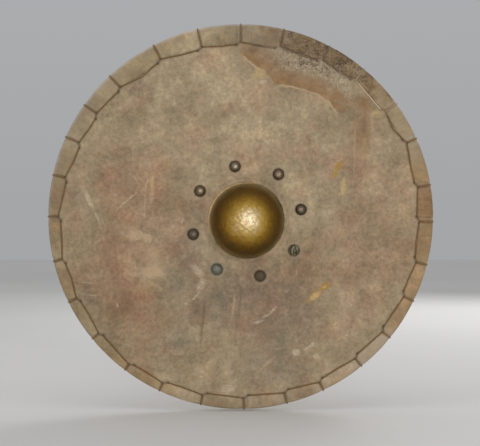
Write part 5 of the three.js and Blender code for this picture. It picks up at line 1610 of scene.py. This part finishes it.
def build_sleeve():
    """The leather round the hold: its two faces, its lapped seam and its stitches."""
    from_seam = (np.arange(SLEEVE_SIDES) / SLEEVE_SIDES - SLEEVE_SEAM + 0.5) % 1 - 0.5

    def ripple(along, share):
        creases = 0.2 * noise2(along * 0.35, share * 30, 2.2, 71)
        creases += 0.12 * noise2(along, share * 60, 3.4, 72)
        lap = 0.32 * (1 - smooth(np.abs(from_seam + 0.02), 0.028, 0.04))
        pull = 0.5 + 0.5 * math.cos(along * TURN / STITCH_PITCH)
        dent = 0.3 * bell(from_seam + STITCH_FROM_SEAM, 0.006) * pull
        return (creases - 0.18 + lap - dent) * smooth(HOLD_END - abs(along), 0.0, 1.2)

    outside = bar_skin(np.linspace(-HOLD_END, HOLD_END, 121), SLEEVE_OUT, SLEEVE_SIDES, ripple)
    inside = bar_skin(np.linspace(HOLD_END, -HOLD_END, 24), SLEEVE_IN, SLEEVE_SIDES)
    seam = np.zeros((len(outside) + len(inside), SLEEVE_SIDES))
    seam[:len(outside)] = (0.8 * bell(from_seam + STITCH_FROM_SEAM, 0.01)
                           + 0.4 * bell(from_seam - 0.02, 0.006))
    piece("leather_sleeve", np.concatenate([outside, inside]),
          quads(len(seam), SLEEVE_SIDES, True, True), sleeve_look(),
          ["grip_sleeve"], {"seam": seam})

    stitches = []
    for along in np.arange(-42.5, 43, STITCH_PITCH):
        ends = []
        for offset, rise in ((-1.5, -0.2), (-0.9, 0.38), (0.9, 0.38), (1.5, -0.2)):
            section = bar_section(along + offset, SLEEVE_OUT + rise, STITCH_SIDES)
            across, y = section[round((SLEEVE_SEAM - STITCH_FROM_SEAM) * STITCH_SIDES)]
            ends.append((grip_point(along + offset, across), y))
        stitches.append(tube(along_line(ends, 0.3, 0.3), 0.42, 8, 2.2))
    points, faces, values = join(stitches)
    piece("sleeve_stitches", points, faces, thread, (), values)


build_bar()
build_sleeve()


# Floor, light and camera

FLOOR_HALF, FLOOR_LEVEL = 9000.0, -299.9
MIDDLE = (DISC[0] * MM, 0, DISC[1] * MM)  # of the shield, in metres


def linked(name, data, place):
    made = bpy.data.objects.new(name, data)
    made.location = place
    bpy.context.scene.collection.objects.link(made)
    return made


def build_stage():
    corners = [(x * MM, y * MM, FLOOR_LEVEL * MM) for x in (-FLOOR_HALF, FLOOR_HALF)
               for y in (-FLOOR_HALF, FLOOR_HALF)]
    mesh = bpy.data.meshes.new("floor")
    mesh.from_pydata(corners, [], [(0, 2, 3, 1)])
    mesh.materials.append(floor_look())
    linked("floor", mesh, (0, 0, 0))


def area_light(name, place, size, power, colour=(1, 1, 1), mirrored=True, beam=180):
    """A square light in metres and watts that looks at the middle of the shield."""
    data = bpy.data.lights.new(name, "AREA")
    data.shape, data.size, data.energy, data.color = "SQUARE", size, power, colour
    data.spread = math.radians(beam)
    made = linked(name, data, place)
    made.rotation_euler = (Vector(MIDDLE) - Vector(place)).to_track_quat("-Z", "Y").to_euler()
    made.visible_glossy = mirrored


def build_light():
    world = bpy.data.worlds.new("studio")
    world.use_nodes = True
    nodes, links = world.node_tree.nodes, world.node_tree.links
    background = nodes["Background"]
    background.inputs["Color"].default_value = tone(248, 249, 252)
    # paler overhead than at the horizon, where it meets the floor's tone
    height = nodes.new("ShaderNodeSeparateXYZ")
    links.new(nodes.new("ShaderNodeTexCoord").outputs["Generated"], height.inputs[0])
    fade = nodes.new("ShaderNodeMapRange")
    for socket, value in (("From Min", 0.0), ("From Max", 0.8), ("To Min", 0.4), ("To Max", 0.58)):
        fade.inputs[socket].default_value = value
    links.new(height.outputs["Z"], fade.inputs["Value"])
    links.new(fade.outputs[0], background.inputs["Strength"])
    bpy.context.scene.world = world
    area_light("key", (0.14, -2.9, 0.1), 1.0, 7.75, (1.0, 0.985, 0.96), beam=90)
    area_light("overhead", (-0.1, -0.6, 2.3), 2.4, 12.0, mirrored=False)
    area_light("behind", (1.4, 2.6, 1.4), 1.6, 34.0)


def build_camera():
    """Straight in front and level, as in the photo."""
    data = bpy.data.cameras.new("camera")
    data.lens, data.sensor_width = 103.9, 36.0
    made = linked("camera", data, (-0.0116, -2.206, -0.0029))
    made.rotation_euler = (math.pi / 2, 0, 0)
    bpy.context.scene.camera = made


build_stage()
build_light()
build_camera()
bpy.context.scene.view_settings.view_transform = "Standard"
